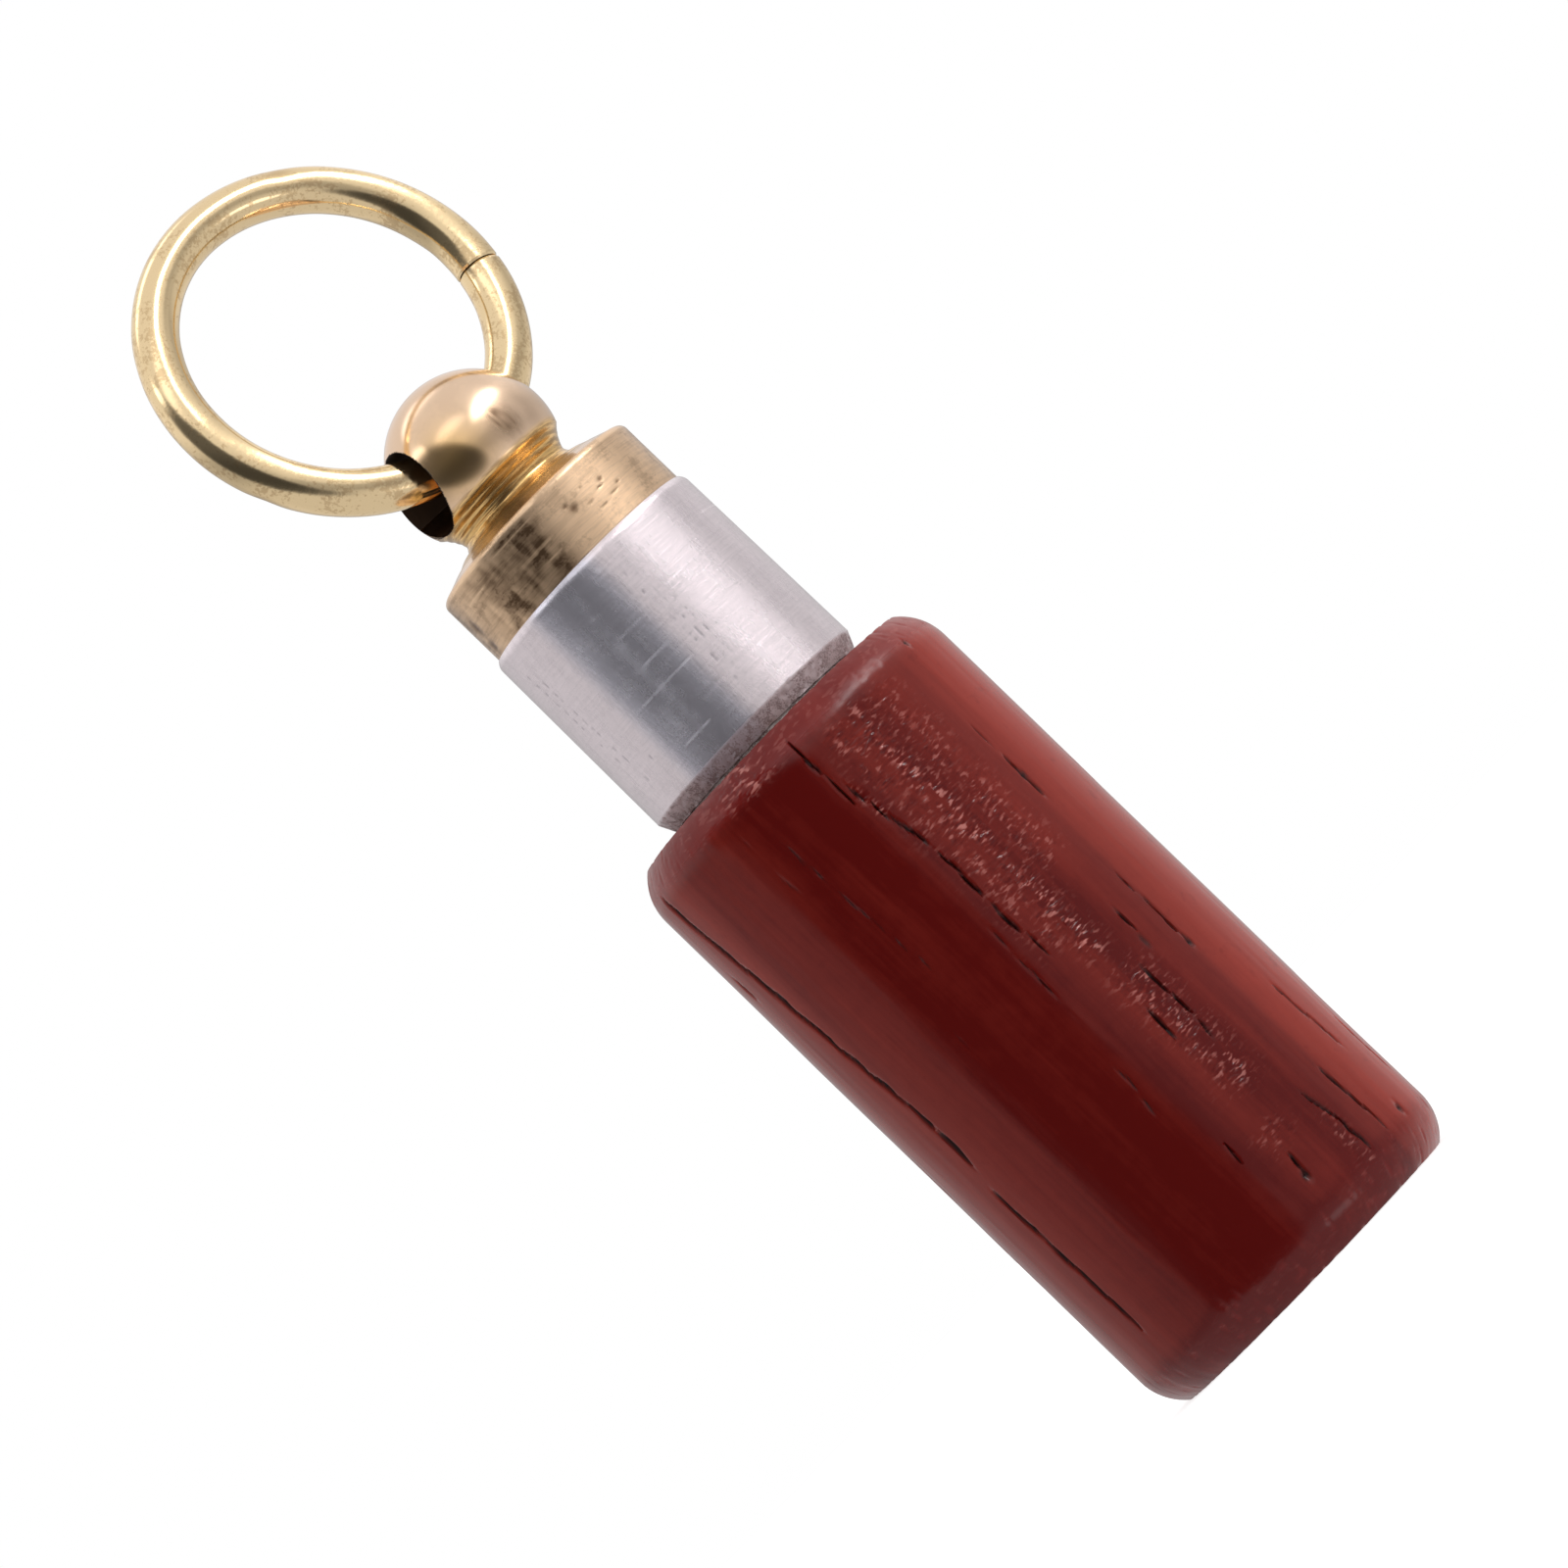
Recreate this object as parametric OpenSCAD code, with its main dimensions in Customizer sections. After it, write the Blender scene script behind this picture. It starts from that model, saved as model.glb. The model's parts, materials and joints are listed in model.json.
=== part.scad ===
// A twist bird call. A lacquered wooden barrel holds a rosined aluminium spigot in a blind bore.
// Twisting the grip above the rim makes wood and metal squeak.
// A turned brass head is screwed into the grip, and a brass wire ring hangs in the eye of its ball.
// The barrel stands on its flat foot. The origin is the centre of the foot, and +Z runs up the
// bore's axis. The eye lies along X, so the ring swings about X.

/* [Barrel] */
// Length of the barrel from foot to rim
barrel_len = 33.8; // [30:0.1:44]
// Diameter of the barrel
barrel_d = 18; // [16:0.5:22]
// Radius of the arc that rounds each end of the barrel
end_arc_r = 2.8; // [1.6:0.1:4]
// Width that the arc takes off each flat end, measured along the radius
end_arc_in = 1; // [0.4:0.1:1.3]
// Depth of the bore below the rim, without the drill's point
bore_depth = 20; // [12:0.5:22]
// Width of the bevel round the mouth of the bore
mouth_bevel = 0.3; // [0.1:0.05:0.4]
// Point angle of the drill that made the bore
drill_angle = 118; // [90:1:140]

/* [Plug] */
// Diameter of the grip at its top, under the brass head
grip_top_d = 12; // [11.5:0.05:13]
// Width that the grip gains from its top to its foot, measured along the radius
grip_flare = 0.1; // [0:0.05:0.5]
// Length of the grip, bevels included
grip_len = 11.1; // [8:0.1:16]
// Width of the bevel round the top of the grip, measured along the radius
top_bevel_w = 0.16; // [0.05:0.01:0.25]
// Height of the bevel round the top of the grip
top_bevel_h = 0.45; // [0.1:0.05:0.8]
// Width of the bevel round the foot of the grip, measured along the radius
foot_bevel_w = 0.4; // [0.1:0.05:0.5]
// Height of the bevel round the foot of the grip
foot_bevel_h = 0.85; // [0.2:0.05:1.2]
// Diameter of the spigot that turns in the bore
spigot_d = 11; // [9:0.1:11.2]
// Width of the bevel that leads the spigot into the bore
lead_in = 0.5; // [0.2:0.1:1]

/* [Rosin] */
// Thickness of the rosin rubbed on the spigot
rosin_t = 0.1; // [0.05:0.01:0.15]
// Length of spigot that stays bare below the rosin, above its lead-in bevel
rosin_bare = 1; // [0.5:0.1:3]

/* [Head] */
// Step in from the top of the grip to the side of the flange, measured along the radius
flange_step = 0.25; // [0.2:0.05:0.8]
// Height of the flange's straight side
flange_h = 3.6; // [2:0.1:5]
// Radius of the rounded rim of the flange
rim_r = 0.35; // [0.1:0.05:0.5]
// Rise of the sloping shoulder from the rim to the neck
shoulder_rise = 0.7; // [0.4:0.05:0.9]
// Diameter of the neck at its waist
neck_d = 6.25; // [5.6:0.05:6.6]
// Radius of the fillet between shoulder and waist
neck_fillet = 0.45; // [0.3:0.05:0.6]
// Radius of the shallow cove between waist and ball
cove_r = 2.4; // [2:0.1:3]
// Height of the waist above the middle of the cove's arc
cove_drop = 0.75; // [0.5:0.05:0.9]
// Diameter of the ball
ball_d = 8.12; // [7.6:0.1:9]
// Height of the ball's centre above the flange's rim
ball_rise = 3.65; // [3.4:0.05:4.2]
// Diameter of the screwed stud under the flange
stud_d = 4; // [3:0.1:5]
// Length of the stud
stud_len = 7; // [4:0.5:9]

/* [Eye] */
// Diameter of the eye drilled through the ball
eye_d = 4.4; // [3.8:0.1:4.8]
// Height of the eye's axis above the ball's centre
eye_lift = 0.45; // [0:0.05:0.6]
// Depth of the light countersink at each mouth of the eye
eye_bevel = 0.12; // [0.05:0.01:0.2]

/* [Ring] */
// Diameter of the ring measured along the middle of its wire
ring_d = 16.1; // [14:0.1:20]
// Diameter of the ring's wire
wire_d = 2.2; // [1.6:0.1:2.4]
// Lean of the ring from upright, towards +Y
ring_lean = 8.5; // [-150:0.5:150]
// Width of the slit where the wire's two ends meet
butt_gap = 0.06; // [0.02:0.01:0.3]
// Angle from the eye round the ring to the slit, by way of +X
butt_angle = 75; // [60:1:300]

/* [Fits] */
// Running clearance between the rosin and the bore, measured along the radius
turn_gap = 0.05; // [0.02:0.01:0.1]
// Clearance between pieces that are fixed together, measured along the radius
fixed_gap = 0.01; // [0.01:0.01:0.03]
// Gap between the rim of the barrel and the foot of the grip
rim_gap = 0.25; // [0.2:0.05:0.6]
// Room left under the end of the spigot
end_room = 2; // [1:0.5:4]
// Room left under the end of the stud
stud_room = 0.8; // [0.5:0.1:2]
// Slack between the ring's wire and the upper edge of the eye
ring_slack = 0.3; // [0.1:0.05:0.35]

/* [Hidden] */
$fn = 128;

wood_colour = [0.42, 0.06, 0.04];
metal_colour = [0.78, 0.77, 0.8];
rosin_colour = [0.5, 0.42, 0.38];
brass_colour = [0.82, 0.65, 0.36];

// How far each cut runs past the face that it opens.
overrun = 1;

barrel_r = barrel_d / 2;
end_arc_h = sqrt(pow(end_arc_r, 2) - pow(end_arc_r - end_arc_in, 2));
spigot_r = spigot_d / 2;
rosin_in_r = spigot_r + fixed_gap;
rosin_out_r = rosin_in_r + rosin_t;
bore_r = rosin_out_r + turn_gap;
bore_floor_z = barrel_len - bore_depth;
point_depth = bore_r / tan(drill_angle / 2);

grip_z = barrel_len + rim_gap;
grip_top_z = grip_z + grip_len;
grip_top_r = grip_top_d / 2;
grip_foot_r = grip_top_r + grip_flare;
spigot_end_z = bore_floor_z + end_room;
rosin_z = spigot_end_z + lead_in + rosin_bare;
rosin_top_z = grip_z - fixed_gap;
stud_r = stud_d / 2;
stud_hole_r = stud_r + fixed_gap;

flange_r = grip_top_r - flange_step;
neck_r = neck_d / 2;
ball_r = ball_d / 2;
flange_top_z = grip_top_z + flange_h;
shoulder_z = flange_top_z + shoulder_rise;
waist_z = shoulder_z + neck_fillet;
ball_z = flange_top_z + ball_rise;
eye_r = eye_d / 2;
eye_z = ball_z + eye_lift;
// Distance from the ball's middle to the upper and the lower edge of the eye's mouth.
mouth_upper_x = sqrt(pow(ball_r, 2) - pow(eye_r + eye_lift, 2));
mouth_lower_x = sqrt(pow(ball_r, 2) - pow(eye_r - eye_lift, 2));

ring_r = ring_d / 2;
wire_r = wire_d / 2;
// The ring is drawn up until the inside of its wire is near the upper edge of the eye's mouth.
ring_reach = eye_r - ring_slack + sqrt(pow(ring_r - wire_r, 2) - pow(mouth_upper_x, 2));
butt_slit_angle = butt_gap / ring_r * 180 / PI;

// A dowel with both ends rounded by an arc that meets the side smoothly and the flat end at an edge.
module barrel_outline() {
    intersection() {
        square([barrel_r, barrel_len]);
        union() {
            translate([0, end_arc_h]) square([barrel_r, barrel_len - 2 * end_arc_h]);
            square([barrel_r - end_arc_r, barrel_len]);
            for (arc_z = [end_arc_h, barrel_len - end_arc_h])
                translate([barrel_r - end_arc_r, arc_z]) circle(r = end_arc_r);
        }
    }
}

// The drilled space: straight wall, bevelled mouth and the cone that the drill's point leaves.
module bore_outline() {
    polygon([
        [0, bore_floor_z - point_depth],
        [bore_r, bore_floor_z],
        [bore_r, barrel_len - mouth_bevel],
        [bore_r + mouth_bevel, barrel_len],
        [bore_r + mouth_bevel, barrel_len + overrun],
        [0, barrel_len + overrun]
    ]);
}

module barrel() {
    color(wood_colour)
        rotate_extrude()
            difference() {
                barrel_outline();
                bore_outline();
            }
}

// Grip and spigot are one turning, with a blind hole for the head's stud.
module plug() {
    color(metal_colour)
        rotate_extrude()
            difference() {
                polygon([
                    [0, spigot_end_z],
                    [spigot_r - lead_in, spigot_end_z],
                    [spigot_r, spigot_end_z + lead_in],
                    [spigot_r, grip_z],
                    [grip_foot_r - foot_bevel_w, grip_z],
                    [grip_foot_r, grip_z + foot_bevel_h],
                    [grip_top_r, grip_top_z - top_bevel_h],
                    [grip_top_r - top_bevel_w, grip_top_z],
                    [0, grip_top_z]
                ]);
                translate([0, grip_top_z - stud_len - stud_room])
                    square([stud_hole_r, stud_len + stud_room + overrun]);
            }
}

// A thin sleeve of rosin bonded to the spigot.
module rosin_coat() {
    color(rosin_colour)
        rotate_extrude()
            translate([rosin_in_r, rosin_z])
                square([rosin_t, rosin_top_z - rosin_z]);
}

// The flange's straight side ends in a small round rim.
module flange_outline() {
    translate([0, grip_top_z]) square([flange_r, flange_h - rim_r]);
    translate([0, grip_top_z]) square([flange_r - rim_r, flange_h]);
    translate([flange_r - rim_r, flange_top_z - rim_r]) circle(r = rim_r);
}

// The shoulder slopes up to the neck, and a fillet turns it into the waist.
module neck_outline() {
    polygon([
        [0, flange_top_z],
        [flange_r - rim_r, flange_top_z],
        [neck_r + neck_fillet, shoulder_z],
        [0, shoulder_z]
    ]);
    difference() {
        translate([0, shoulder_z]) square([neck_r + neck_fillet, neck_fillet]);
        translate([neck_r + neck_fillet, waist_z]) circle(r = neck_fillet);
    }
    translate([0, waist_z]) square([neck_r, ball_z - waist_z]);
}

// The cove is cut into the underside of the ball, so the two meet in a turned edge. Its arc leaves
// the waist already leaning outwards.
module ball_outline() {
    difference() {
        intersection() {
            translate([0, ball_z]) circle(r = ball_r);
            translate([0, waist_z]) square([ball_r, ball_z + ball_r - waist_z]);
        }
        translate([neck_r + sqrt(pow(cove_r, 2) - pow(cove_drop, 2)), waist_z - cove_drop])
            circle(r = cove_r);
    }
}

// The eye runs right through the ball. A countersink takes the edge off each mouth where it stands
// out furthest, below the eye's axis.
module eye_cut() {
    translate([0, 0, eye_z]) {
        rotate([0, 90, 0]) cylinder(r = eye_r, h = 2 * (ball_r + overrun), center = true);
        for (side = [-1, 1])
            rotate([0, side * 90, 0])
                translate([0, 0, mouth_lower_x - eye_bevel])
                    cylinder(r1 = eye_r, r2 = eye_r + 2 * eye_bevel, h = 2 * eye_bevel);
    }
}

module head() {
    color(brass_colour)
        difference() {
            rotate_extrude() {
                flange_outline();
                neck_outline();
                ball_outline();
                translate([0, grip_top_z - stud_len]) square([stud_r, stud_len]);
            }
            eye_cut();
        }
}

// Round wire bent into a circle, cut by a slit where its ends meet.
module ring() {
    color(brass_colour)
        translate([0, 0, eye_z])
            rotate([-ring_lean, 0, 0])
                translate([0, 0, ring_reach])
                    rotate([90, 90 - butt_angle - butt_slit_angle / 2, 0])
                        rotate_extrude(angle = 360 - butt_slit_angle)
                            translate([ring_r, 0]) circle(r = wire_r);
}

barrel();
plug();
rosin_coat();
head();
ring();
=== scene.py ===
import json
import math

import bpy
import numpy as np
from bpy.props import FloatProperty, FloatVectorProperty, IntProperty, PointerProperty
from mathutils import Matrix, Vector


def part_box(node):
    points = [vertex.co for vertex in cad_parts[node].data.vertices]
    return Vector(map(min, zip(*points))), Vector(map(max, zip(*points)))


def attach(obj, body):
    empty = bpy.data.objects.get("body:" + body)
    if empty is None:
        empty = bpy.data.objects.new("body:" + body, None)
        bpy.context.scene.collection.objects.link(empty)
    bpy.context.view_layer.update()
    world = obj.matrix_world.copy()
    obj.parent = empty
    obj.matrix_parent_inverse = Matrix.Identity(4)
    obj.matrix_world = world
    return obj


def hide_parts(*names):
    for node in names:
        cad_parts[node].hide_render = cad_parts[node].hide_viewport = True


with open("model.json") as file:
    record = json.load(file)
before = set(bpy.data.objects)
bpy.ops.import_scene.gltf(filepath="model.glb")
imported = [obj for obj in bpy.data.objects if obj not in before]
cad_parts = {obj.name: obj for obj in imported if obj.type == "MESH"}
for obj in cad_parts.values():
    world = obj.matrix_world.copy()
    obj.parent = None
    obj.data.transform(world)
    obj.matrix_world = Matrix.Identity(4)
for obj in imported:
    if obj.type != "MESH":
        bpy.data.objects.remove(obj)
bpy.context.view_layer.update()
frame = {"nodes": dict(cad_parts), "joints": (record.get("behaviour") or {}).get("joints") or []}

bl_info = {
    "name": "Bird call",
    "version": (1, 0, 0),
    "blender": (4, 5, 0),
    "location": "3D View > Sidebar > Bird call",
    "description": "Builds the finished pieces of a twist bird call around its packed model",
    "category": "Object",
}

MM = 0.001


def length(name, description, default):
    """A length in metres for the sidebar."""
    return FloatProperty(name=name, description=description, default=default, unit="LENGTH", precision=5)


def angle(name, description, degrees):
    """An angle for the sidebar, given in degrees."""
    return FloatProperty(name=name, description=description, default=math.radians(degrees), subtype="ANGLE")


def strength(name, description, default):
    """A plain number for the sidebar."""
    return FloatProperty(name=name, description=description, default=default, min=0)


def colour(name, description, default):
    """A linear colour for the sidebar."""
    return FloatVectorProperty(
        name=name, description=description, default=default, size=3, min=0, max=1, subtype="COLOR"
    )


class BarrelSettings(bpy.types.PropertyGroup):
    """Sizes and colours of the lacquered wooden barrel."""

    radius: length("Radius", "Outer radius of the barrel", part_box("barrel")[1].x)
    height: length("Height", "Length of the barrel from foot to rim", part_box("barrel")[1].z)
    arc_radius: length("End arc", "Radius of the arc that rounds each end", 2.8 * MM)
    arc_width: length("End arc width", "Width that the arc takes off each flat end", 1 * MM)
    bore_radius: length("Bore radius", "Radius of the bore", 5.66 * MM)
    bore_depth: length("Bore depth", "Depth of the bore below the rim", 20 * MM)
    mouth_bevel: length("Mouth bevel", "Width of the bevel round the bore's mouth", 0.3 * MM)
    drill_angle: angle("Drill angle", "Point angle of the drill", 118)
    columns: IntProperty(name="Columns", description="Grid columns round the barrel", default=720)
    rows: IntProperty(name="Rows", description="Grid rows up the barrel's side", default=92)
    heartwood: colour("Heartwood", "Deep red of the wood", (0.08, 0.0026, 0.002))
    orange_wood: colour("Orange wood", "Lighter orange red between the dark bands", (0.42, 0.05, 0.03))
    pore_colour: colour("Pores", "Nearly black floor of pores and cracks", (0.012, 0.003, 0.003))
    rubbed_colour: colour("Rubbed edge", "Brownish red where the lacquer is thin", (0.2, 0.009, 0.007))
    # Painted highlight: pale pink glints of rough and rubbed lacquer.
    painted_glint_colour: colour("Flecks", "Pale pink flecks in rough lacquer", (0.6, 0.25, 0.22))
    raw_wood: colour("Raw wood", "Bare wood inside the bore", (0.33, 0.16, 0.09))
    pore_depth: length("Pore depth", "Depth of the deepest pores and cracks", 0.22 * MM)


class PlugSettings(bpy.types.PropertyGroup):
    """Sizes and colours of the turned aluminium plug."""

    foot_radius: length("Foot radius", "Radius of the grip at its foot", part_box("plug")[1].x)
    top_radius: length("Top radius", "Radius of the grip at its top", 6 * MM)
    spigot_radius: length("Spigot radius", "Radius of the spigot in the bore", 5.5 * MM)
    low: length("Spigot end", "Height of the spigot's lower end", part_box("plug")[0].z)
    grip_low: length("Grip foot", "Height of the grip's foot", 34.05 * MM)
    high: length("Grip top", "Height of the grip's top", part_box("plug")[1].z)
    lead_in: length("Lead-in", "Bevel at the spigot's lower end", 0.5 * MM)
    foot_bevel_width: length("Foot bevel width", "Width of the bevel round the grip's foot", 0.4 * MM)
    foot_bevel_height: length("Foot bevel height", "Height of the bevel round the grip's foot", 0.85 * MM)
    top_bevel_width: length("Top bevel width", "Width of the bevel round the grip's top", 0.16 * MM)
    top_bevel_height: length("Top bevel height", "Height of the bevel round the grip's top", 0.45 * MM)
    stud_hole_radius: length("Stud hole radius", "Radius of the hole for the head's stud", 2.01 * MM)
    stud_hole_depth: length("Stud hole depth", "Depth of the hole for the head's stud", 7.8 * MM)
    columns: IntProperty(name="Columns", description="Grid columns round the plug", default=420)
    metal: colour("Aluminium", "Clean turned aluminium", (0.96, 0.875, 0.905))
    # Painted reflection: the bluish tint of the dark reflection on the side that faces the camera.
    painted_blue_reflection: colour("Cool aluminium", "Bluish film on the side that faces the camera", (0.87, 0.86, 0.96))
    stain: colour("Stain", "Grey stain on the aluminium", (0.4, 0.37, 0.4))
    grime: colour("Grime", "Brown grey dirt on the foot's bevel", (0.22, 0.155, 0.155))


class HeadSettings(bpy.types.PropertyGroup):
    """Sizes and colours of the turned brass head."""

    flange_radius: length("Flange radius", "Radius of the flange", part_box("head")[1].x)
    stud_radius: length("Stud radius", "Radius of the stud under the flange", 2 * MM)
    stud_low: length("Stud end", "Height of the stud's lower end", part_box("head")[0].z)
    flange_low: length("Flange foot", "Height of the flange's underside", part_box("plug")[1].z)
    flange_height: length("Flange height", "Height of the flange", 3.6 * MM)
    rim_radius: length("Rim radius", "Radius of the flange's rounded rim", 0.35 * MM)
    shoulder_rise: length("Shoulder rise", "Rise of the shoulder from rim to neck", 0.7 * MM)
    neck_radius: length("Neck radius", "Radius of the waist", 3.125 * MM)
    neck_fillet: length("Neck fillet", "Radius of the fillet at the waist", 0.45 * MM)
    cove_radius: length("Cove radius", "Radius of the cove under the ball", 2.4 * MM)
    cove_drop: length("Cove drop", "Height of the waist above the cove's middle", 0.75 * MM)
    ball_radius: length("Ball radius", "Radius of the ball", 4.06 * MM)
    eye_radius: length("Eye radius", "Radius of the eye drilled through the ball", 2.2 * MM)
    eye_lift: length("Eye lift", "Height of the eye's axis above the ball's centre", 0.45 * MM)
    eye_bevel: length("Eye bevel", "Countersink at the mouths of the eye", 0.12 * MM)
    columns: IntProperty(name="Columns", description="Grid columns round the head", default=360)
    polished: colour("Polished brass", "Rose gold of the polished ball", (0.88, 0.65, 0.46))
    brushed: colour("Brushed brass", "Duller gold of the flange", (0.96, 0.69, 0.45))
    tarnish: colour("Tarnish", "Dark brown blots", (0.14, 0.085, 0.048))
    # Painted reflection: the deep gold of brass mirrored in brass on the neck, also painted warm on the
    # ball's front.
    painted_reflection_gold: colour("Neck", "Deep gold of the neck, where brass mirrors brass", (0.95, 0.62, 0.25))
    pit_colour: colour("Pits", "Dark brown floor of the flange's pits", (0.12, 0.06, 0.03))
    # Painted shade: the eye's inside is painted nearly black, with dirt.
    eye_shade_and_dirt: colour("Eye", "Nearly black dirt inside the eye", (0.03, 0.018, 0.012))


class RingSettings(bpy.types.PropertyGroup):
    """Sizes and colours of the brass wire ring."""

    radius: length("Ring radius", "Radius of the ring along the middle of its wire", 8.05 * MM)
    wire_radius: length("Wire radius", "Radius of the wire", 1.1 * MM)
    lean: angle("Lean", "Lean of the ring from upright", 8.5)
    reach: length("Reach", "Distance from the eye's axis to the ring's centre", 8.132 * MM)
    eye_height: length("Eye height", "Height of the eye's axis", 52.85 * MM)
    butt_angle: angle("Butt angle", "Angle from the eye to the slit", 75)
    butt_gap: length("Butt gap", "Width of the slit", 0.06 * MM)
    brass: colour("Brass", "Pale brass of the wire", (0.93, 0.73, 0.43))
    stain: colour("Stain", "Brown stain on the wire", (0.36, 0.2, 0.07))


class RosinSettings(bpy.types.PropertyGroup):
    """Colours of the rosin rubbed on the spigot."""

    dust: colour("Dust", "Pale dust on the rosin", (0.52, 0.48, 0.47))
    film: colour("Film", "Brown film of rosin", (0.2, 0.14, 0.13))


class StudioSettings(bpy.types.PropertyGroup):
    """Camera, floor and soft tent of light."""

    turn: angle("Turn", "Turn of the camera round the bore's axis", 28.849)
    climb: angle("Climb", "Height of the camera above the horizon", -3.456)
    roll: angle("Roll", "Roll of the camera about its own axis", -45.978)
    distance: length("Distance", "Distance from the camera to its aim", 354 * MM)
    aim: FloatVectorProperty(
        name="Aim", description="Point that the camera looks at", size=3, subtype="TRANSLATION",
        default=(-0.735 * MM, 0.405 * MM, 32.174 * MM),
    )
    lens: FloatProperty(name="Lens", description="Focal length in millimetres", default=181.3)
    floor_size: length("Floor size", "Half the width of the floor", 3)
    tent: strength("Tent", "Brightness of the tent's walls high up", 0.84)
    ground: strength("Ground", "Brightness of the tent's walls low down", 0.66)
    horizon: strength("Horizon", "Brightness of the tent's walls level with the call", 0.42)


# Shader helpers


def fill(tree, node, inputs):
    """Sets the node's inputs, by name or number, each to a value or from a socket."""
    for key, value in inputs.items():
        if isinstance(value, bpy.types.NodeSocket):
            tree.links.new(value, node.inputs[key])
        else:
            node.inputs[key].default_value = value
    return node


def add(tree, kind, inputs, **settings):
    """A new node of that kind, with its settings and its inputs."""
    node = tree.nodes.new(kind)
    for name, value in settings.items():
        setattr(node, name, value)
    return fill(tree, node, inputs)


def calc(tree, operation, first, second=0.0, clamp=False):
    """The result of one Math node."""
    return add(tree, "ShaderNodeMath", {0: first, 1: second}, operation=operation, use_clamp=clamp).outputs[0]


def chain(tree, operation, values, clamp):
    """The values joined from left to right by Math nodes. clamp holds the result between 0 and 1."""
    joined = values[0]
    for number, value in enumerate(values[1:], 2):
        joined = calc(tree, operation, joined, value, clamp and number == len(values))
    return joined


def total(tree, *values, clamp=False):
    """The sum of the values."""
    return chain(tree, "ADD", values, clamp)


def product(tree, *values, clamp=False):
    """The product of the values."""
    return chain(tree, "MULTIPLY", values, clamp)


def swing(tree, value, *amounts):
    """How far the value is from a half, times the amounts."""
    return product(tree, calc(tree, "SUBTRACT", value, 0.5), *amounts)


def blend(tree, factor, first, second):
    """A colour between first and second, by factor. A colour of three values gets full alpha."""
    ends = [value if isinstance(value, bpy.types.NodeSocket) else (*value, 1.0) for value in (first, second)]
    mixer = add(tree, "ShaderNodeMix", {0: factor, 6: ends[0], 7: ends[1]}, data_type="RGBA")
    return mixer.outputs[2]


def ramp(tree, value, low, high):
    """The value's place between low and high, from 0 to 1, with soft ends."""
    inputs = {0: value, 1: low, 2: high}
    return add(tree, "ShaderNodeMapRange", inputs, interpolation_type="SMOOTHSTEP").outputs[0]


def noise(tree, vector, scale, detail=2.0, roughness=0.5, distortion=0.0):
    """The value of a noise texture."""
    inputs = {
        "Vector": vector, "Scale": scale, "Detail": detail, "Roughness": roughness, "Distortion": distortion,
    }
    return add(tree, "ShaderNodeTexNoise", inputs).outputs[0]


def stretch(tree, vector, factors):
    """The coordinates multiplied axis by axis, which stretches a pattern along the small factors."""
    return add(tree, "ShaderNodeVectorMath", {0: vector, 1: factors}, operation="MULTIPLY").outputs[0]


def object_position(tree):
    """Object coordinates, which are metres in the part's own frame."""
    return add(tree, "ShaderNodeTexCoord", {}).outputs["Object"]


def mask(tree, name):
    """A mask that the piece's own mesh carries as an attribute."""
    return add(tree, "ShaderNodeAttribute", {}, attribute_name=name).outputs["Fac"]


def shared_group(inputs, outputs):
    """Turns a function that fills a node group into one that hands back the group, named as the function and
    built once only. inputs maps names to defaults, None for a vector; outputs names the numbers returned."""

    def wrap(build):
        def get():
            known = bpy.data.node_groups.get(build.__name__)
            if known:
                return known
            tree = bpy.data.node_groups.new(build.__name__, "ShaderNodeTree")
            for name, default in inputs.items():
                if default is None:
                    tree.interface.new_socket(name, in_out="INPUT", socket_type="NodeSocketVector")
                else:
                    socket = tree.interface.new_socket(name, in_out="INPUT", socket_type="NodeSocketFloat")
                    socket.default_value = default
            for name in outputs:
                tree.interface.new_socket(name, in_out="OUTPUT", socket_type="NodeSocketFloat")
            results = build(tree, tree.nodes.new("NodeGroupInput").outputs)
            fill(tree, tree.nodes.new("NodeGroupOutput"), dict(zip(outputs, results)))
            return tree

        get.__doc__ = build.__doc__
        return get

    return wrap


def place(tree, group, inputs):
    """The outputs of a node that uses the group in the tree."""
    return add(tree, "ShaderNodeGroup", inputs, node_tree=group).outputs


@shared_group({"Position": None, "Pitch": 0.0001, "Breaks": 0.04}, ("Height", "Streak"))
def turning_lines(tree, start):
    """Group: fine rings round +Z that a lathe tool leaves, as a height and as streaks of brightness."""
    flatten = add(tree, "ShaderNodeCombineXYZ", {0: start["Breaks"], 1: start["Breaks"], 2: 1.0})
    squeezed = stretch(tree, start["Position"], flatten.outputs[0])
    scale = calc(tree, "DIVIDE", 1.0, start["Pitch"])
    fine = noise(tree, squeezed, scale, detail=3.0, roughness=0.7)
    broad = noise(tree, squeezed, product(tree, scale, 0.13))
    return total(tree, fine, product(tree, broad, 0.6)), ramp(tree, fine, 0.42, 0.62)


@shared_group({"Position": None, "Size": 0.002, "Amount": 0.5, "Speckle": 0.3}, ("Mask",))
def tarnish_blots(tree, start):
    """Group: irregular blots with a soft, speckled edge, as a mask."""
    scale = calc(tree, "DIVIDE", 1.0, start["Size"])
    broad = noise(tree, start["Position"], scale, detail=4.0, roughness=0.6, distortion=0.4)
    fine = noise(tree, start["Position"], product(tree, scale, 9.0), roughness=0.6)
    edge = total(tree, broad, swing(tree, fine, start["Speckle"]))
    low = calc(tree, "SUBTRACT", 0.75, product(tree, start["Amount"], 0.45))
    return (ramp(tree, edge, low, total(tree, low, 0.12)),)


@shared_group({"Position": None, "Band": 0.0018, "Fibre": 0.00022}, ("Tone", "Fibres"))
def wood_grain(tree, start):
    """Group: long bands and fine fibres along +Z, as a tone and as a height."""
    along = stretch(tree, start["Position"], (1.0, 1.0, 0.07))
    band_scale, fibre_scale = (calc(tree, "DIVIDE", 1.0, start[name]) for name in ("Band", "Fibre"))
    bands = noise(tree, along, band_scale, detail=3.0, roughness=0.55, distortion=0.3)
    return bands, noise(tree, along, fibre_scale, roughness=0.6)


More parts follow.
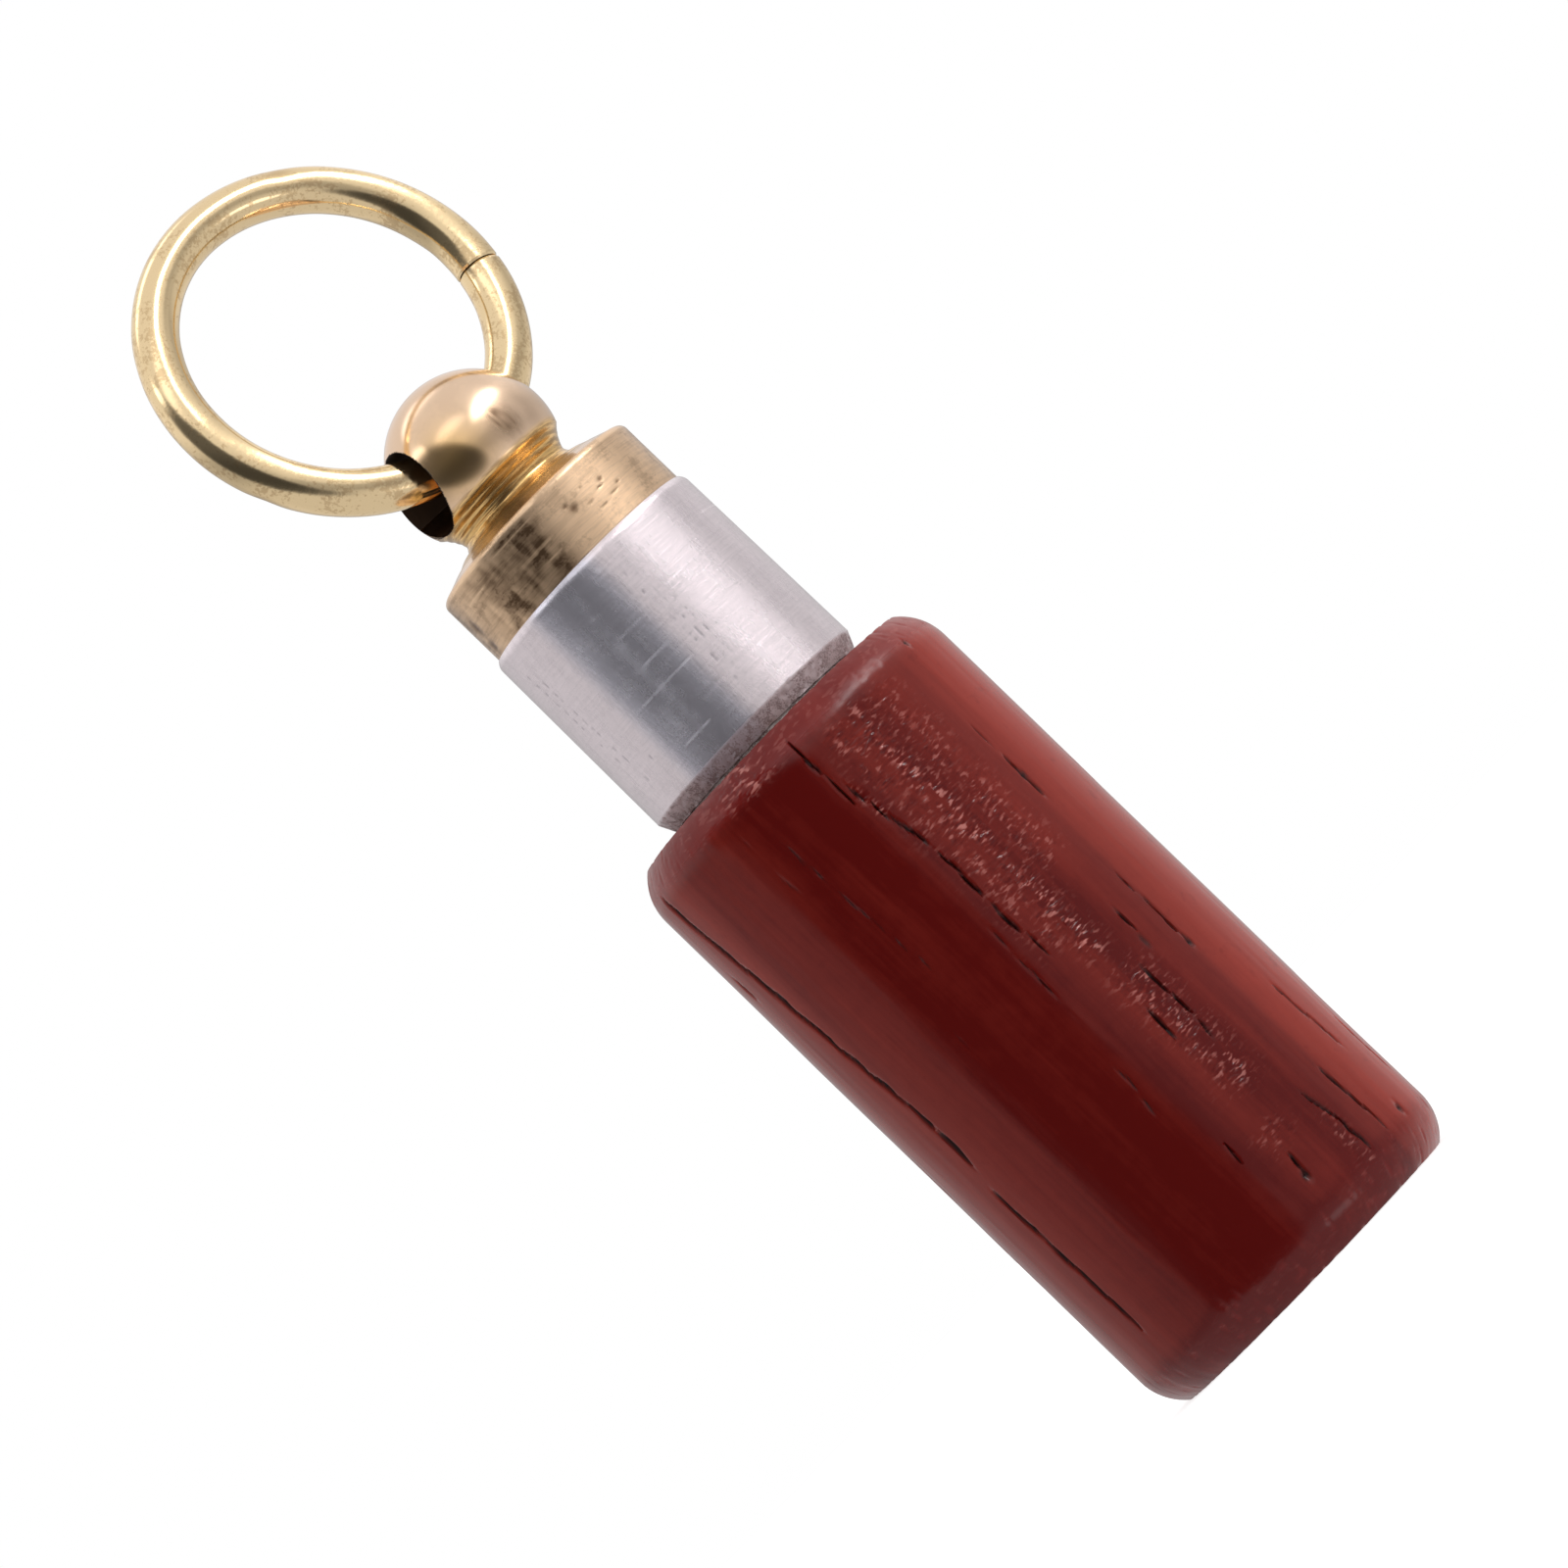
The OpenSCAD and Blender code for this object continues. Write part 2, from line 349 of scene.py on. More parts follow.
@shared_group(
    {
        "Direction": None, "Middle": None, "Side": None, "Up": None,
        "Half width": 0.5, "Half height": 0.5, "Softness": 1.0,
    },
    ("Mask",),
)
def tent_patch(tree, start):
    """Group: a soft-edged oval on the tent's wall, from 1 in its middle to 0 outside."""

    def along(axis):
        """How far the direction reaches along one of the patch's axes."""
        inputs = {0: start["Direction"], 1: start[axis]}
        return add(tree, "ShaderNodeVectorMath", inputs, operation="DOT_PRODUCT").outputs["Value"]

    def reach(axis, size):
        """Square of the distance from the middle along one axis, in half sizes."""
        halves = calc(tree, "DIVIDE", calc(tree, "ABSOLUTE", along(axis)), start[size])
        return calc(tree, "POWER", halves, 2.0)

    spread = total(tree, reach("Side", "Half width"), reach("Up", "Half height"))
    falloff = calc(tree, "POWER", spread, start["Softness"])
    soft = calc(tree, "EXPONENT", product(tree, falloff, -1.0))
    return (product(tree, soft, ramp(tree, along("Middle"), 0.0, 0.2)),)


def blots(tree, vector, size, amount, speckle):
    """The mask of the tarnish_blots group, with blots of that size in metres."""
    inputs = {"Position": vector, "Size": size, "Amount": amount, "Speckle": speckle}
    return place(tree, tarnish_blots(), inputs)["Mask"]


def new_material(name):
    """An empty node material with its Principled shader linked up."""
    material = bpy.data.materials.new(name)
    material.use_nodes = True
    tree = material.node_tree
    tree.nodes.clear()
    shader = add(tree, "ShaderNodeBsdfPrincipled", {})
    add(tree, "ShaderNodeOutputMaterial", {"Surface": shader.outputs[0]})
    return material, tree, shader


def brushed_round(tree, shader, amount):
    """Lets the gloss stretch along +Z by that amount, a quarter turn from the rings that a lathe leaves."""
    around = add(tree, "ShaderNodeTangent", {}, direction_type="RADIAL", axis="Z")
    fill(tree, shader, {"Tangent": around.outputs[0], "Anisotropic": amount, "Anisotropic Rotation": 0.25})


def bump(tree, shader, height, depth):
    """Feeds the height to the shader's normal, with its full depth in metres."""
    made = add(tree, "ShaderNodeBump", {"Height": height, "Distance": depth, "Strength": 1.0})
    fill(tree, shader, {"Normal": made.outputs[0]})


# Mesh helpers

# Lengths over which marks fade out at their ends: grooves in millimetres, and lines round a piece in degrees.
GROOVE_END = 0.5
LINE_END = 4.0
# Edges whose faces turn by more than this stay sharp.
SHARP_ANGLE = math.radians(35)


def smooth(values):
    """Smoothstep of values from 0 to 1."""
    held = np.clip(values, 0.0, 1.0)
    return held * held * (3.0 - 2.0 * held)


def lattice_noise(rng, turns, heights, cells_round, cells_up):
    """Value noise from 0 to 1: a random lattice, closed round the piece, with soft blends between corners.
    turns is the place round the piece as a share of a turn, and heights the place up it from 0 to 1."""
    lattice = rng.random((cells_up + 2, cells_round))
    x, y = np.mod(turns, 1.0) * cells_round, np.clip(heights, 0.0, 1.0) * cells_up
    left, low = np.floor(x).astype(int) % cells_round, np.floor(y).astype(int)
    right = (left + 1) % cells_round
    fx, fy = smooth(x - np.floor(x)), smooth(y - low)
    lower = lattice[low, left] * (1 - fx) + lattice[low, right] * fx
    upper = lattice[low + 1, left] * (1 - fx) + lattice[low + 1, right] * fx
    return lower * (1 - fy) + upper * fy


def round_offset(angles, middle):
    """Signed offset in degrees of the angles from the middle, the short way round."""
    return np.mod(angles - middle + 180.0, 360.0) - 180.0


def outline_grid(context, outline, columns):
    """For every point of an outline turned round: its angle from the front in degrees, its height and radius
    in millimetres, and its place round the piece as a share of a turn."""
    turn = np.degrees(np.arange(columns) * (2 * math.pi / columns))
    angles, heights = np.meshgrid(round_offset(turn, front_turn(context)), outline[:, 1] / MM)
    radii = np.repeat(outline[:, :1], columns, axis=1) / MM
    return angles, heights, radii, np.mod(angles, 360.0) / 360.0


def highest(layers):
    """The largest of the layers at each point."""
    return np.maximum.reduce(list(layers))


def bell(offsets, half):
    """A soft bump: exp(-d squared), with d the offset in half sizes."""
    return np.exp(-((offsets / half) ** 2))


def oval(angles, heights, middle, height, half, half_height, power=1):
    """A soft oval: exp(-d squared), with d the distance from its middle in half sizes and d squared raised to
    the power. The half width is in degrees and the half height in millimetres."""
    across, up = round_offset(angles, middle) / half, (heights - height) / half_height
    return np.exp(-((across**2 + up**2) ** power))


def along_line(angles, heights, points, width, radius):
    """A groove along a chain of points: 1 on its line, falling to 0 within its width, with soft ends. A point
    is an angle in degrees and a height; heights, width and the piece's radius are in millimetres."""
    z, middles = zip(*sorted((height, middle) for middle, height in points))
    off = round_offset(angles, np.interp(heights, z, middles)) * math.radians(radius)
    ends = smooth((heights - z[0]) / GROOVE_END) * smooth((z[-1] - heights) / GROOVE_END)
    return np.clip(1.0 - np.abs(off) / (0.5 * width), 0.0, 1.0) * ends


def round_line(angles, heights, height, start, end, half_width):
    """A thin line round the piece, from one angle to another: 1 on its height and 0 from half_width away."""
    along = np.mod(angles - start, 360.0)
    span = smooth(along / LINE_END) * smooth((end - start - along) / LINE_END)
    return span * np.clip(1.0 - np.abs(heights - height) / half_width, 0.0, 1.0)


def arc(centre, radius, start, end, steps):
    """Points of an arc from angle start to angle end in degrees, as columns of radius and height."""
    t = np.radians(np.linspace(start, end, steps))
    return np.stack([centre[0] + radius * np.cos(t), centre[1] + radius * np.sin(t)], axis=1)


def line(start, end, steps):
    """Evenly spaced points on a straight line, both ends included."""
    return np.linspace(start, end, steps)


def rounded_bevel(start, end, steps):
    """A bevel that bulges: the straight line from start to end, pushed out by a tenth of its length times
    sin(pi t), where t goes from 0 to 1 along it."""
    t = np.linspace(0.0, 1.0, steps)[:, None]
    start, end = np.array(start), np.array(end)
    out = np.array([end[1] - start[1], start[0] - end[0]])
    return start + (end - start) * t + 0.1 * out * np.sin(math.pi * t)


def profile(*stretches):
    """The stretches joined into one outline, with repeated points left out."""
    points = np.concatenate([np.atleast_2d(s) for s in stretches])
    keep = np.ones(len(points), bool)
    keep[1:] = np.linalg.norm(np.diff(points, axis=0), axis=1) > 1e-7
    return points[keep]


def outward(outline):
    """Unit normals of an outline that runs anticlockwise, from the slope between its neighbours."""
    slope = np.gradient(outline, axis=0)
    normals = np.stack([slope[:, 1], -slope[:, 0]], axis=1)
    return normals / np.linalg.norm(normals, axis=1, keepdims=True)


def revolve(outline, columns, depth=None):
    """The outline turned about +Z: each point is (r cos t, r sin t, z), pushed inwards by depth along the
    outline's normal."""
    t = np.arange(columns) * (2 * math.pi / columns)
    r, z = (np.repeat(outline[:, i : i + 1], columns, axis=1) for i in (0, 1))
    if depth is not None:
        normals = outward(outline)
        r, z = r - depth * normals[:, :1], z - depth * normals[:, 1:]
    return np.stack([r * np.cos(t), r * np.sin(t), z], axis=2)


def grid_mesh(name, grid, first, last, masks):
    """A closed mesh: the grid's columns go round, and its first and last rows close on the points first and
    last. The masks become attributes of its points."""
    rows, columns = grid.shape[:2]
    index = np.arange(rows * columns).reshape(rows, columns)
    after = np.roll(index, -1, axis=1)
    quads = np.stack([index[:-1], after[:-1], after[1:], index[1:]], axis=-1).reshape(-1, 4)
    pole_low, pole_high = rows * columns, rows * columns + 1
    low_fan = np.stack([np.full(columns, pole_low), after[0], index[0]], axis=-1)
    high_fan = np.stack([np.full(columns, pole_high), index[-1], after[-1]], axis=-1)
    points = np.concatenate([grid.reshape(-1, 3), [first], [last]])
    mesh = bpy.data.meshes.new(name)
    mesh.from_pydata(points.tolist(), [], quads.tolist() + low_fan.tolist() + high_fan.tolist())
    for mask_name, values in masks.items():
        attribute = mesh.attributes.new(mask_name, "FLOAT", "POINT")
        attribute.data.foreach_set("value", np.append(values.ravel(), [0.0, 0.0]).astype(np.float32))
    mesh.shade_smooth()
    mesh.set_sharp_from_angle(angle=SHARP_ANGLE)
    return mesh


def add_piece(context, name, mesh, material, body, node):
    """Links the piece into the scene in its CAD node's place, on that node's body."""
    piece = bpy.data.objects.new(name, mesh)
    context.scene.collection.objects.link(piece)
    mesh.materials.append(material)
    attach(piece, body)
    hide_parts(node)


def front_turn(context):
    """Angle about +Z, in degrees, of the side that faces the camera."""
    return -90.0 - math.degrees(context.scene.birdcall_studio.turn)


# Barrel

# Seed of the barrel's value noise and made-up pores, and the number of those pores.
BARREL_SEED = 71
BACK_PORES = 60
# Depths in millimetres of the broad waves, the ribs, the ripples of rough lacquer and the chips.
WAVE_DEPTH, RIB_DEPTH, RIPPLE_DEPTH, CHIP_DEPTH = 0.04, 0.012, 0.05, 0.03
# Heights in millimetres where the rubbed rims begin, and radii where the bore's raw wood ends and the marks
# of the skin begin.
TOP_RIM, LOW_RIM = 32.1, 2.6
LIP_RADIUS, SKIN_RADIUS = 5.6, 7.0
# Cracks and pores of the grain: width in millimetres, share of the full depth, how broken the line is, and
# its points from the top down, as angles from the front in degrees and heights in millimetres.
GROOVES = [
    (0.52, 1.0, 0.05,
     [(-68, 32.4), (-66.5, 30.5), (-64, 28.5), (-62, 26.8), (-60, 25), (-58.3, 23), (-56.5, 21)]),
    (0.46, 1.0, 0.1, [(-56.8, 21.4), (-55, 19.5), (-53.5, 18), (-53, 16.8), (-52.8, 15.5), (-53.2, 14)]),
    (0.44, 1.0, 0.1, [(-55, 12.8), (-55, 10.8), (-54.3, 9), (-53.8, 7), (-53.3, 5.5), (-53, 3.7)]),
    (0.16, 0.3, 0.5, [(-53.4, 14.2), (-54.8, 12.6)]),
    (0.22, 0.9, 0.2, [(3.6, 33), (4, 31), (4.2, 28.6)]),
    (0.24, 1.0, 0.15, [(6, 29.6), (8, 27.6), (10, 26), (11, 24), (11.2, 22), (11, 21)]),
    (0.26, 1.0, 0.1, [(10.6, 21.2), (11.4, 19.8), (12.3, 18.1)]),
    (0.16, 0.45, 0.5, [(6, 20.8), (5, 18.7), (4.8, 17), (4.3, 15.2)]),
    (0.18, 0.5, 0.4, [(2.6, 13), (2, 12), (0.8, 11), (0, 9.5)]),
    (0.22, 0.8, 0.1, [(8, 7.1), (7, 5.7)]),
    (0.14, 0.35, 0.5, [(-26, 32), (-25.5, 27.8)]),
    (0.15, 0.4, 0.45, [(-18, 30), (-16.5, 26), (-15, 23), (-14, 21.4), (-13.5, 20.6)]),
    (0.13, 0.3, 0.5, [(-23.4, 20), (-23, 17.8)]),
    (0.16, 0.5, 0.3, [(48.4, 28), (48.8, 26)]),
    (0.34, 1.0, 0.1, [(48.8, 26.2), (49.2, 24.5), (49.6, 23.1)]),
    (0.15, 0.7, 0.2, [(46.4, 18.6), (47, 16.8)]),
    (0.22, 1.0, 0.05, [(47, 17), (47, 15.5), (47, 13.9)]),
    (0.18, 0.9, 0.1, [(36.2, 17.8), (36, 16.1)]),
    (0.24, 1.0, 0.1, [(28.7, 15), (29, 13.2), (29.6, 11.6)]),
    (0.24, 0.9, 0.2, [(29, 11.8), (28, 10.4)]),
    (0.28, 1.0, 0.05, [(20.4, 13.5), (20, 11.5)]),
    (0.26, 1.0, 0.15, [(60, 10.4), (61, 8.6), (62.3, 7.2), (63, 6.2)]),
    (0.26, 1.0, 0.15, [(35, 6.2), (36.8, 4.9), (38, 3.5), (38.5, 2.1)]),
    (0.24, 1.0, 0.1, [(46.8, 6.3), (47.5, 4.5), (48.5, 2.2)]),
    (0.26, 1.0, 0.1, [(18.8, 4.8), (18, 3.5)]),
    (0.5, 0.8, 0.1, [(-75, 27.6), (-73, 26.2)]),
    (0.26, 1.0, 0.3, [(150, 31), (154, 22), (149, 12), (152, 4)]),
    (0.28, 1.0, 0.2, [(-132, 29), (-127, 20), (-130, 9)]),
    (0.24, 0.9, 0.3, [(98, 26), (101, 17), (99, 6)]),
]
# Pits: angle, height and size in millimetres.
PITS = [
    (35.5, 15.6, 0.3), (49.5, 24.6, 0.3), (17.6, 3.5, 0.32), (60, 2.4, 0.32), (56.5, 32.3, 0.22),
    (47.2, 14.1, 0.24),
]
# Patches where the lacquer is rough with fine ripples: angle, half width, lower and upper height, strength.
ROUGH_PATCHES = [
    (22.5, 4, 16.5, 31.8, 1.0), (15, 3.4, 28, 31.8, 0.8), (17, 6, 18, 31, 0.5), (33, 7, 21, 31.8, 0.5),
    (25, 6, 8, 15.5, 0.75), (-13, 9, 32.4, 33.8, 1.0), (20, 5, 5, 6.2, 0.55), (35.5, 2.2, 1.8, 4.6, 0.6),
    (8, 1.6, 26.4, 29.4, 0.8), (-155, 10, 6, 26, 0.7), (120, 6, 12, 30, 0.5),
]
# Share of orange red in the wood, by angle from the front: partly the wood's own tone, and partly painted
# light, low on the side that faces the camera and higher towards its edges.
WOOD_TONE_AND_PAINTED_LIGHT = [
    (-180, 0.3), (-150, 0.5), (-120, 0.1), (-95, 0.4), (-85, 0.38), (-65, 0.27), (-45, 0.17),
    (-33, 0.11), (-26, 0.04), (-10, 0.01), (4, 0.03), (11, 0.07), (16, 0.13), (22, 0.08),
    (30, 0.04), (40, 0.06), (46.5, 0.12), (48.5, 0.22), (56, 0.4), (66, 0.54), (76, 0.6),
    (95, 0.5), (120, 0.15), (150, 0.5), (180, 0.3),
]
# A lighter stripe in the upper wood: angle, half width, and the height where it begins.
LIGHT_STRIPE = (36.0, 12.0, 18.0)


def barrel_outline(s):
    """Outline of the barrel from the middle of its foot up the side, over the rim, and down the bore to the
    height of the drill's point, which is returned too."""
    arc_height = math.sqrt(s.arc_radius**2 - (s.arc_radius - s.arc_width) ** 2)
    lean = math.degrees(math.asin(arc_height / s.arc_radius))
    flat = s.radius - s.arc_width
    mouth = s.bore_radius + s.mouth_bevel
    floor = s.height - s.bore_depth
    point = floor - s.bore_radius / math.tan(s.drill_angle / 2)
    axis = s.radius - s.arc_radius
    outline = profile(
        line((0.5 * MM, 0), (flat, 0), 9),
        arc((axis, arc_height), s.arc_radius, -lean, 0, 11),
        line((s.radius, arc_height), (s.radius, s.height - arc_height), s.rows),
        arc((axis, s.height - arc_height), s.arc_radius, 0, lean, 11),
        line((flat, s.height), (mouth, s.height), 6),
        line((s.bore_radius, s.height - s.mouth_bevel), (s.bore_radius, floor), 5),
        line((s.bore_radius / 2, (floor + point) / 2), (0.3 * MM, point + 0.18 * MM), 2),
    )
    return outline, point


def back_pores(rng):
    """Pores on the side away from the camera, in the manner of GROOVES. None of their lines is broken."""
    for _ in range(BACK_PORES):
        middle, top = rng.uniform(76, 284), rng.uniform(5, 32)
        points = [(middle, top), (middle + rng.uniform(-1.5, 1.5), max(top - rng.uniform(1.2, 4), 2.5))]
        yield rng.uniform(0.14, 0.28), rng.uniform(0.4, 1.0), -1.0, points


def barrel_fields(context, outline, columns):
    """Depth in metres pushed into the barrel's skin, and the masks that its lacquer reads.
    Cracks, pores and pits are grooves along short lines; the rest is value noise with the grain."""
    s = context.scene.birdcall_barrel
    rng = np.random.default_rng(BARREL_SEED)
    angles, heights, radii, shares = outline_grid(context, outline, columns)
    rise, radius = heights / (s.height / MM), s.radius / MM
    skin = smooth((radii - SKIN_RADIUS) / 0.8)
    lined = angles + (lattice_noise(rng, shares, rise, 30, 60) - 0.5) * 0.9
    beads = lattice_noise(rng, shares, rise, 60, 62)
    swell = 0.42 + 0.6 * lattice_noise(rng, shares, rise, 40, 40)

    grooves = highest(
        along_line(lined, heights, points, width * swell, radius) * strong * smooth((beads - broken) / 0.2)
        for width, strong, broken, points in (*GROOVES, *back_pores(rng))
    )
    pits = highest(
        oval(angles, heights, middle, height, 0.5 * size / math.radians(radius), 0.5 * size)
        for middle, height, size in PITS
    )
    grooves = np.maximum(grooves, pits)

    rough = highest(
        strong * bell(round_offset(angles, middle), half)
        * smooth(heights - low + 0.5) * smooth(high + 0.5 - heights)
        for middle, half, low, high, strong in ROUGH_PATCHES
    )
    speckle = lattice_noise(rng, shares, rise, 240, 100)
    rough = rough * smooth((speckle - 0.15) / 0.5)
    top_rim, low_rim = smooth((heights - TOP_RIM) / 0.6), smooth((LOW_RIM - heights) / 0.9)
    chips = np.maximum(top_rim, low_rim) * smooth((lattice_noise(rng, shares, rise, 140, 120) - 0.66) / 0.3)
    waves = lattice_noise(rng, shares, rise, 9, 5)
    ribs = lattice_noise(rng, shares, rise, 150, 9)
    texture = WAVE_DEPTH * waves + RIB_DEPTH * ribs + RIPPLE_DEPTH * rough * speckle + CHIP_DEPTH * chips
    depth = (grooves * s.pore_depth + texture * MM) * skin

    middle, half, low = LIGHT_STRIPE
    lighter = smooth((heights - low) / 5.0) * bell(round_offset(angles, middle), half)
    # The tone is partly painted light: darker facing the camera and lighter towards the edges. It is also
    # darker round the low rim.
    tone = np.interp(angles, *zip(*WOOD_TONE_AND_PAINTED_LIGHT)) + 0.11 * lighter - 0.16 * low_rim
    masks = {
        "pore": smooth(grooves / 0.5),
        "rough": rough,
        "rubbed": np.clip(0.85 * top_rim + 0.1 * low_rim + 0.5 * chips, 0.0, 1.0),
        "tone": np.clip(tone, 0.0, 1.0),
        "inside": (1.0 - smooth((radii - LIP_RADIUS) / 1.2)) * smooth((heights - 5.0) / 2.0),
    }
    return depth, masks


def lacquered_wood(s):
    """Open-grained wood under dark red lacquer: the tone goes from deep red to orange red with the grain,
    pores are nearly black, rims are rubbed and duller, and rough lacquer has pale flecks and ripples."""
    material, tree, shader = new_material("lacquered_wood")
    position = object_position(tree)
    rough, pore, rubbed, inside = (mask(tree, name) for name in ("rough", "pore", "rubbed", "inside"))
    grain = place(tree, wood_grain(), {"Position": position, "Band": 1.6 * MM, "Fibre": 0.2 * MM})
    mottle = noise(tree, position, 900.0, detail=4.0, roughness=0.7)
    dashes = noise(tree, stretch(tree, position, (0.36, 0.36, 1.0)), 5600.0, detail=1.0, roughness=0.6)

    tone = total(
        tree, mask(tree, "tone"), swing(tree, grain["Tone"], 0.42), swing(tree, grain["Fibres"], 0.1),
        swing(tree, mottle, 0.14), swing(tree, dashes, rough, 1.1), clamp=True,
    )
    wood = blend(tree, tone, s.heartwood, s.orange_wood)
    wood = blend(tree, product(tree, ramp(tree, mottle, 0.55, 0.75), 0.35), wood, s.heartwood)
    wood = blend(tree, product(tree, rubbed, 0.55), wood, s.rubbed_colour)
    patchy = ramp(tree, noise(tree, position, 1100.0), 0.34, 0.56)
    scuffs = total(tree, rough, product(tree, rubbed, 0.2))
    # Painted highlights: pale glints in rough and rubbed lacquer.
    glint_flecks = product(tree, ramp(tree, dashes, 0.53, 0.66), patchy, scuffs, clamp=True)
    wood = blend(tree, product(tree, glint_flecks, 0.62), wood, s.painted_glint_colour)
    wood = blend(tree, inside, wood, s.raw_wood)
    wood = blend(tree, pore, wood, s.pore_colour)

    dull = (product(tree, where, amount) for where, amount in ((rubbed, 0.2), (inside, 0.4), (pore, 0.3)))
    fill(tree, shader, {"Base Color": wood, "Roughness": total(tree, 0.13, *dull, clamp=True), "IOR": 1.38})
    ripples = noise(tree, stretch(tree, position, (0.5, 0.5, 1.0)), 3000.0, detail=1.0)
    uneven = total(tree, rough, product(tree, rubbed, 0.08))
    glints = product(tree, ramp(tree, ripples, 0.42, 0.68), uneven)
    bump(tree, shader, total(tree, glints, product(tree, grain["Fibres"], 0.012)), 0.05 * MM)
    return material


class BIRDCALL_OT_barrel(bpy.types.Operator):
    """Builds the lacquered wooden barrel with its pores, cracks and rubbed rims"""

    bl_idname = "birdcall.barrel"
    bl_label = "Barrel"

    def execute(self, context):
        s = context.scene.birdcall_barrel
        outline, point = barrel_outline(s)
        depth, masks = barrel_fields(context, outline, s.columns)
        grid = revolve(outline, s.columns, depth)
        mesh = grid_mesh("wooden_barrel", grid, (0, 0, 0), (0, 0, point), masks)
        add_piece(context, "wooden_barrel", mesh, lacquered_wood(s), "barrel", "barrel")
        return {"FINISHED"}


# Plug

# Seed of the plug's value noise.
PLUG_SEED = 13
# Depths in millimetres of the grip's scratches, lines, foot grit and faint turning rings.
SCRATCH_DEPTH, GRIP_LINE_DEPTH, GRIT_DEPTH, TURNING_DEPTH = 0.02, 0.012, 0.05, 0.003
# Radius in millimetres outside which the skin is the grip's, and the angles from the front between which a
# bluish reflection of the camera side is painted into the aluminium's colour.
GRIP_RADIUS = 5.62
BLUE_REFLECTION_SIDE = (-40.0, 8.0)
# Scratches along the grip: width in millimetres, and the angle from the front and the height of both ends.
GRIP_SCRATCHES = [
    (0.16, (-63, 43.8), (-59.5, 37.6)), (0.16, (-57.5, 43.5), (-53.5, 36)), (0.112, (9, 43.6), (10.4, 36.2)),
    (0.096, (13, 42.4), (14, 35.8)), (0.112, (16.5, 41.4), (17.5, 35.8)), (0.192, (-43, 37.6), (-42, 36.6)),
    (0.128, (120, 43), (121, 37)), (0.144, (165, 41), (164, 35.5)), (0.112, (-130, 43.5), (-131, 39)),
]
# Bright lines round the grip: height, and the angles between which they show; and their half width.
GRIP_RINGS = [
    (41.5, -14, 3), (38.7, -32, 5), (36.15, -28, -8), (39.9, -15, 2), (43.1, 60, 150), (37.2, 120, 260),
]
GRIP_RING_HALF = 0.07
# Hazy spots: angle, height, half width in degrees, half height in millimetres, and strength.
GRIP_HAZE = [
    (-14.5, 40.2, 3.2, 3.6, 0.35), (-14.5, 43, 2.4, 0.3, 0.3), (-13.5, 38.8, 2, 0.2, 0.35),
    (-12.5, 36.8, 2, 0.4, 0.3), (-22, 37, 4, 0.8, 0.3), (2.5, 44.3, 2.2, 0.2, 0.5), (-28, 42.4, 4, 1, 0.25),
    (140, 40, 12, 3, 0.4),
]


def plug_outline(s):
    """Outline of the plug from the middle of its lower end, up the spigot and the grip, and down to the floor
    of the stud's hole, whose height is returned too."""
    hole_floor = s.high - s.stud_hole_depth
    foot_edge, foot_top = s.foot_radius - s.foot_bevel_width, s.grip_low + s.foot_bevel_height
    top_edge, top_foot = s.top_radius - s.top_bevel_width, s.high - s.top_bevel_height
    outline = profile(
        line((0.5 * MM, s.low), (s.spigot_radius - s.lead_in, s.low), 4),
        line((s.spigot_radius, s.low + s.lead_in), (s.spigot_radius, s.grip_low), 12),
        line((s.spigot_radius, s.grip_low), (foot_edge, s.grip_low), 2),
        line((foot_edge, s.grip_low), (s.foot_radius, foot_top), 9),
        line((s.foot_radius, foot_top), (s.top_radius, top_foot), 165),
        rounded_bevel((s.top_radius, top_foot), (top_edge, s.high), 9),
        line((top_edge, s.high), (s.stud_hole_radius, s.high), 4),
        line((s.stud_hole_radius, s.high), (s.stud_hole_radius, hole_floor), 3),
        line((s.stud_hole_radius, hole_floor), (0.5 * MM, hole_floor), 2),
    )
    return outline, hole_floor


def plug_fields(context, outline, columns):
    """Depth in metres pushed into the plug, and its masks: scratches along it, lines and haze round it, dirt
    on the foot's bevel, and the side whose film looks cool."""
    s = context.scene.birdcall_plug
    rng = np.random.default_rng(PLUG_SEED)
    angles, heights, radii, shares = outline_grid(context, outline, columns)
    low, high = s.grip_low / MM, s.high / MM
    rise = (heights - low) / (high - low)
    grip = smooth((radii - GRIP_RADIUS) / 0.1)
    beads = lattice_noise(rng, shares, rise, 120, 60)
    scratch = highest(
        along_line(angles, heights, ends, width, s.top_radius / MM) for width, *ends in GRIP_SCRATCHES
    ) * smooth((beads - 0.45) / 0.3)
    ring_lines = highest(round_line(angles, heights, *ring, GRIP_RING_HALF) for ring in GRIP_RINGS)
    ring_lines = ring_lines * (0.2 + 0.8 * lattice_noise(rng, shares, rise, 90, 8))
    haze = highest(strong * oval(angles, heights, *spot) for *spot, strong in GRIP_HAZE)
    haze = haze * (0.3 + 0.9 * lattice_noise(rng, shares, rise, 100, 50))
    foot = smooth((low + s.foot_bevel_height / MM + 0.06 - heights) / 0.12) * grip
    grit = foot * smooth((lattice_noise(rng, shares, rise, 210, 110) - 0.5) / 0.4)
    turning = lattice_noise(rng, shares, rise, 3, 90)
    texture = (
        SCRATCH_DEPTH * scratch + GRIP_LINE_DEPTH * ring_lines + GRIT_DEPTH * grit + TURNING_DEPTH * turning
    )
    masks = {
        "scratch": scratch * grip,
        "ring_line": ring_lines * grip,
        "haze": haze * grip,
        "foot": foot,
        "cool": smooth((angles - BLUE_REFLECTION_SIDE[0]) / 12.0) * smooth((BLUE_REFLECTION_SIDE[1] - angles) / 10.0),
    }
    return texture * MM * grip, masks


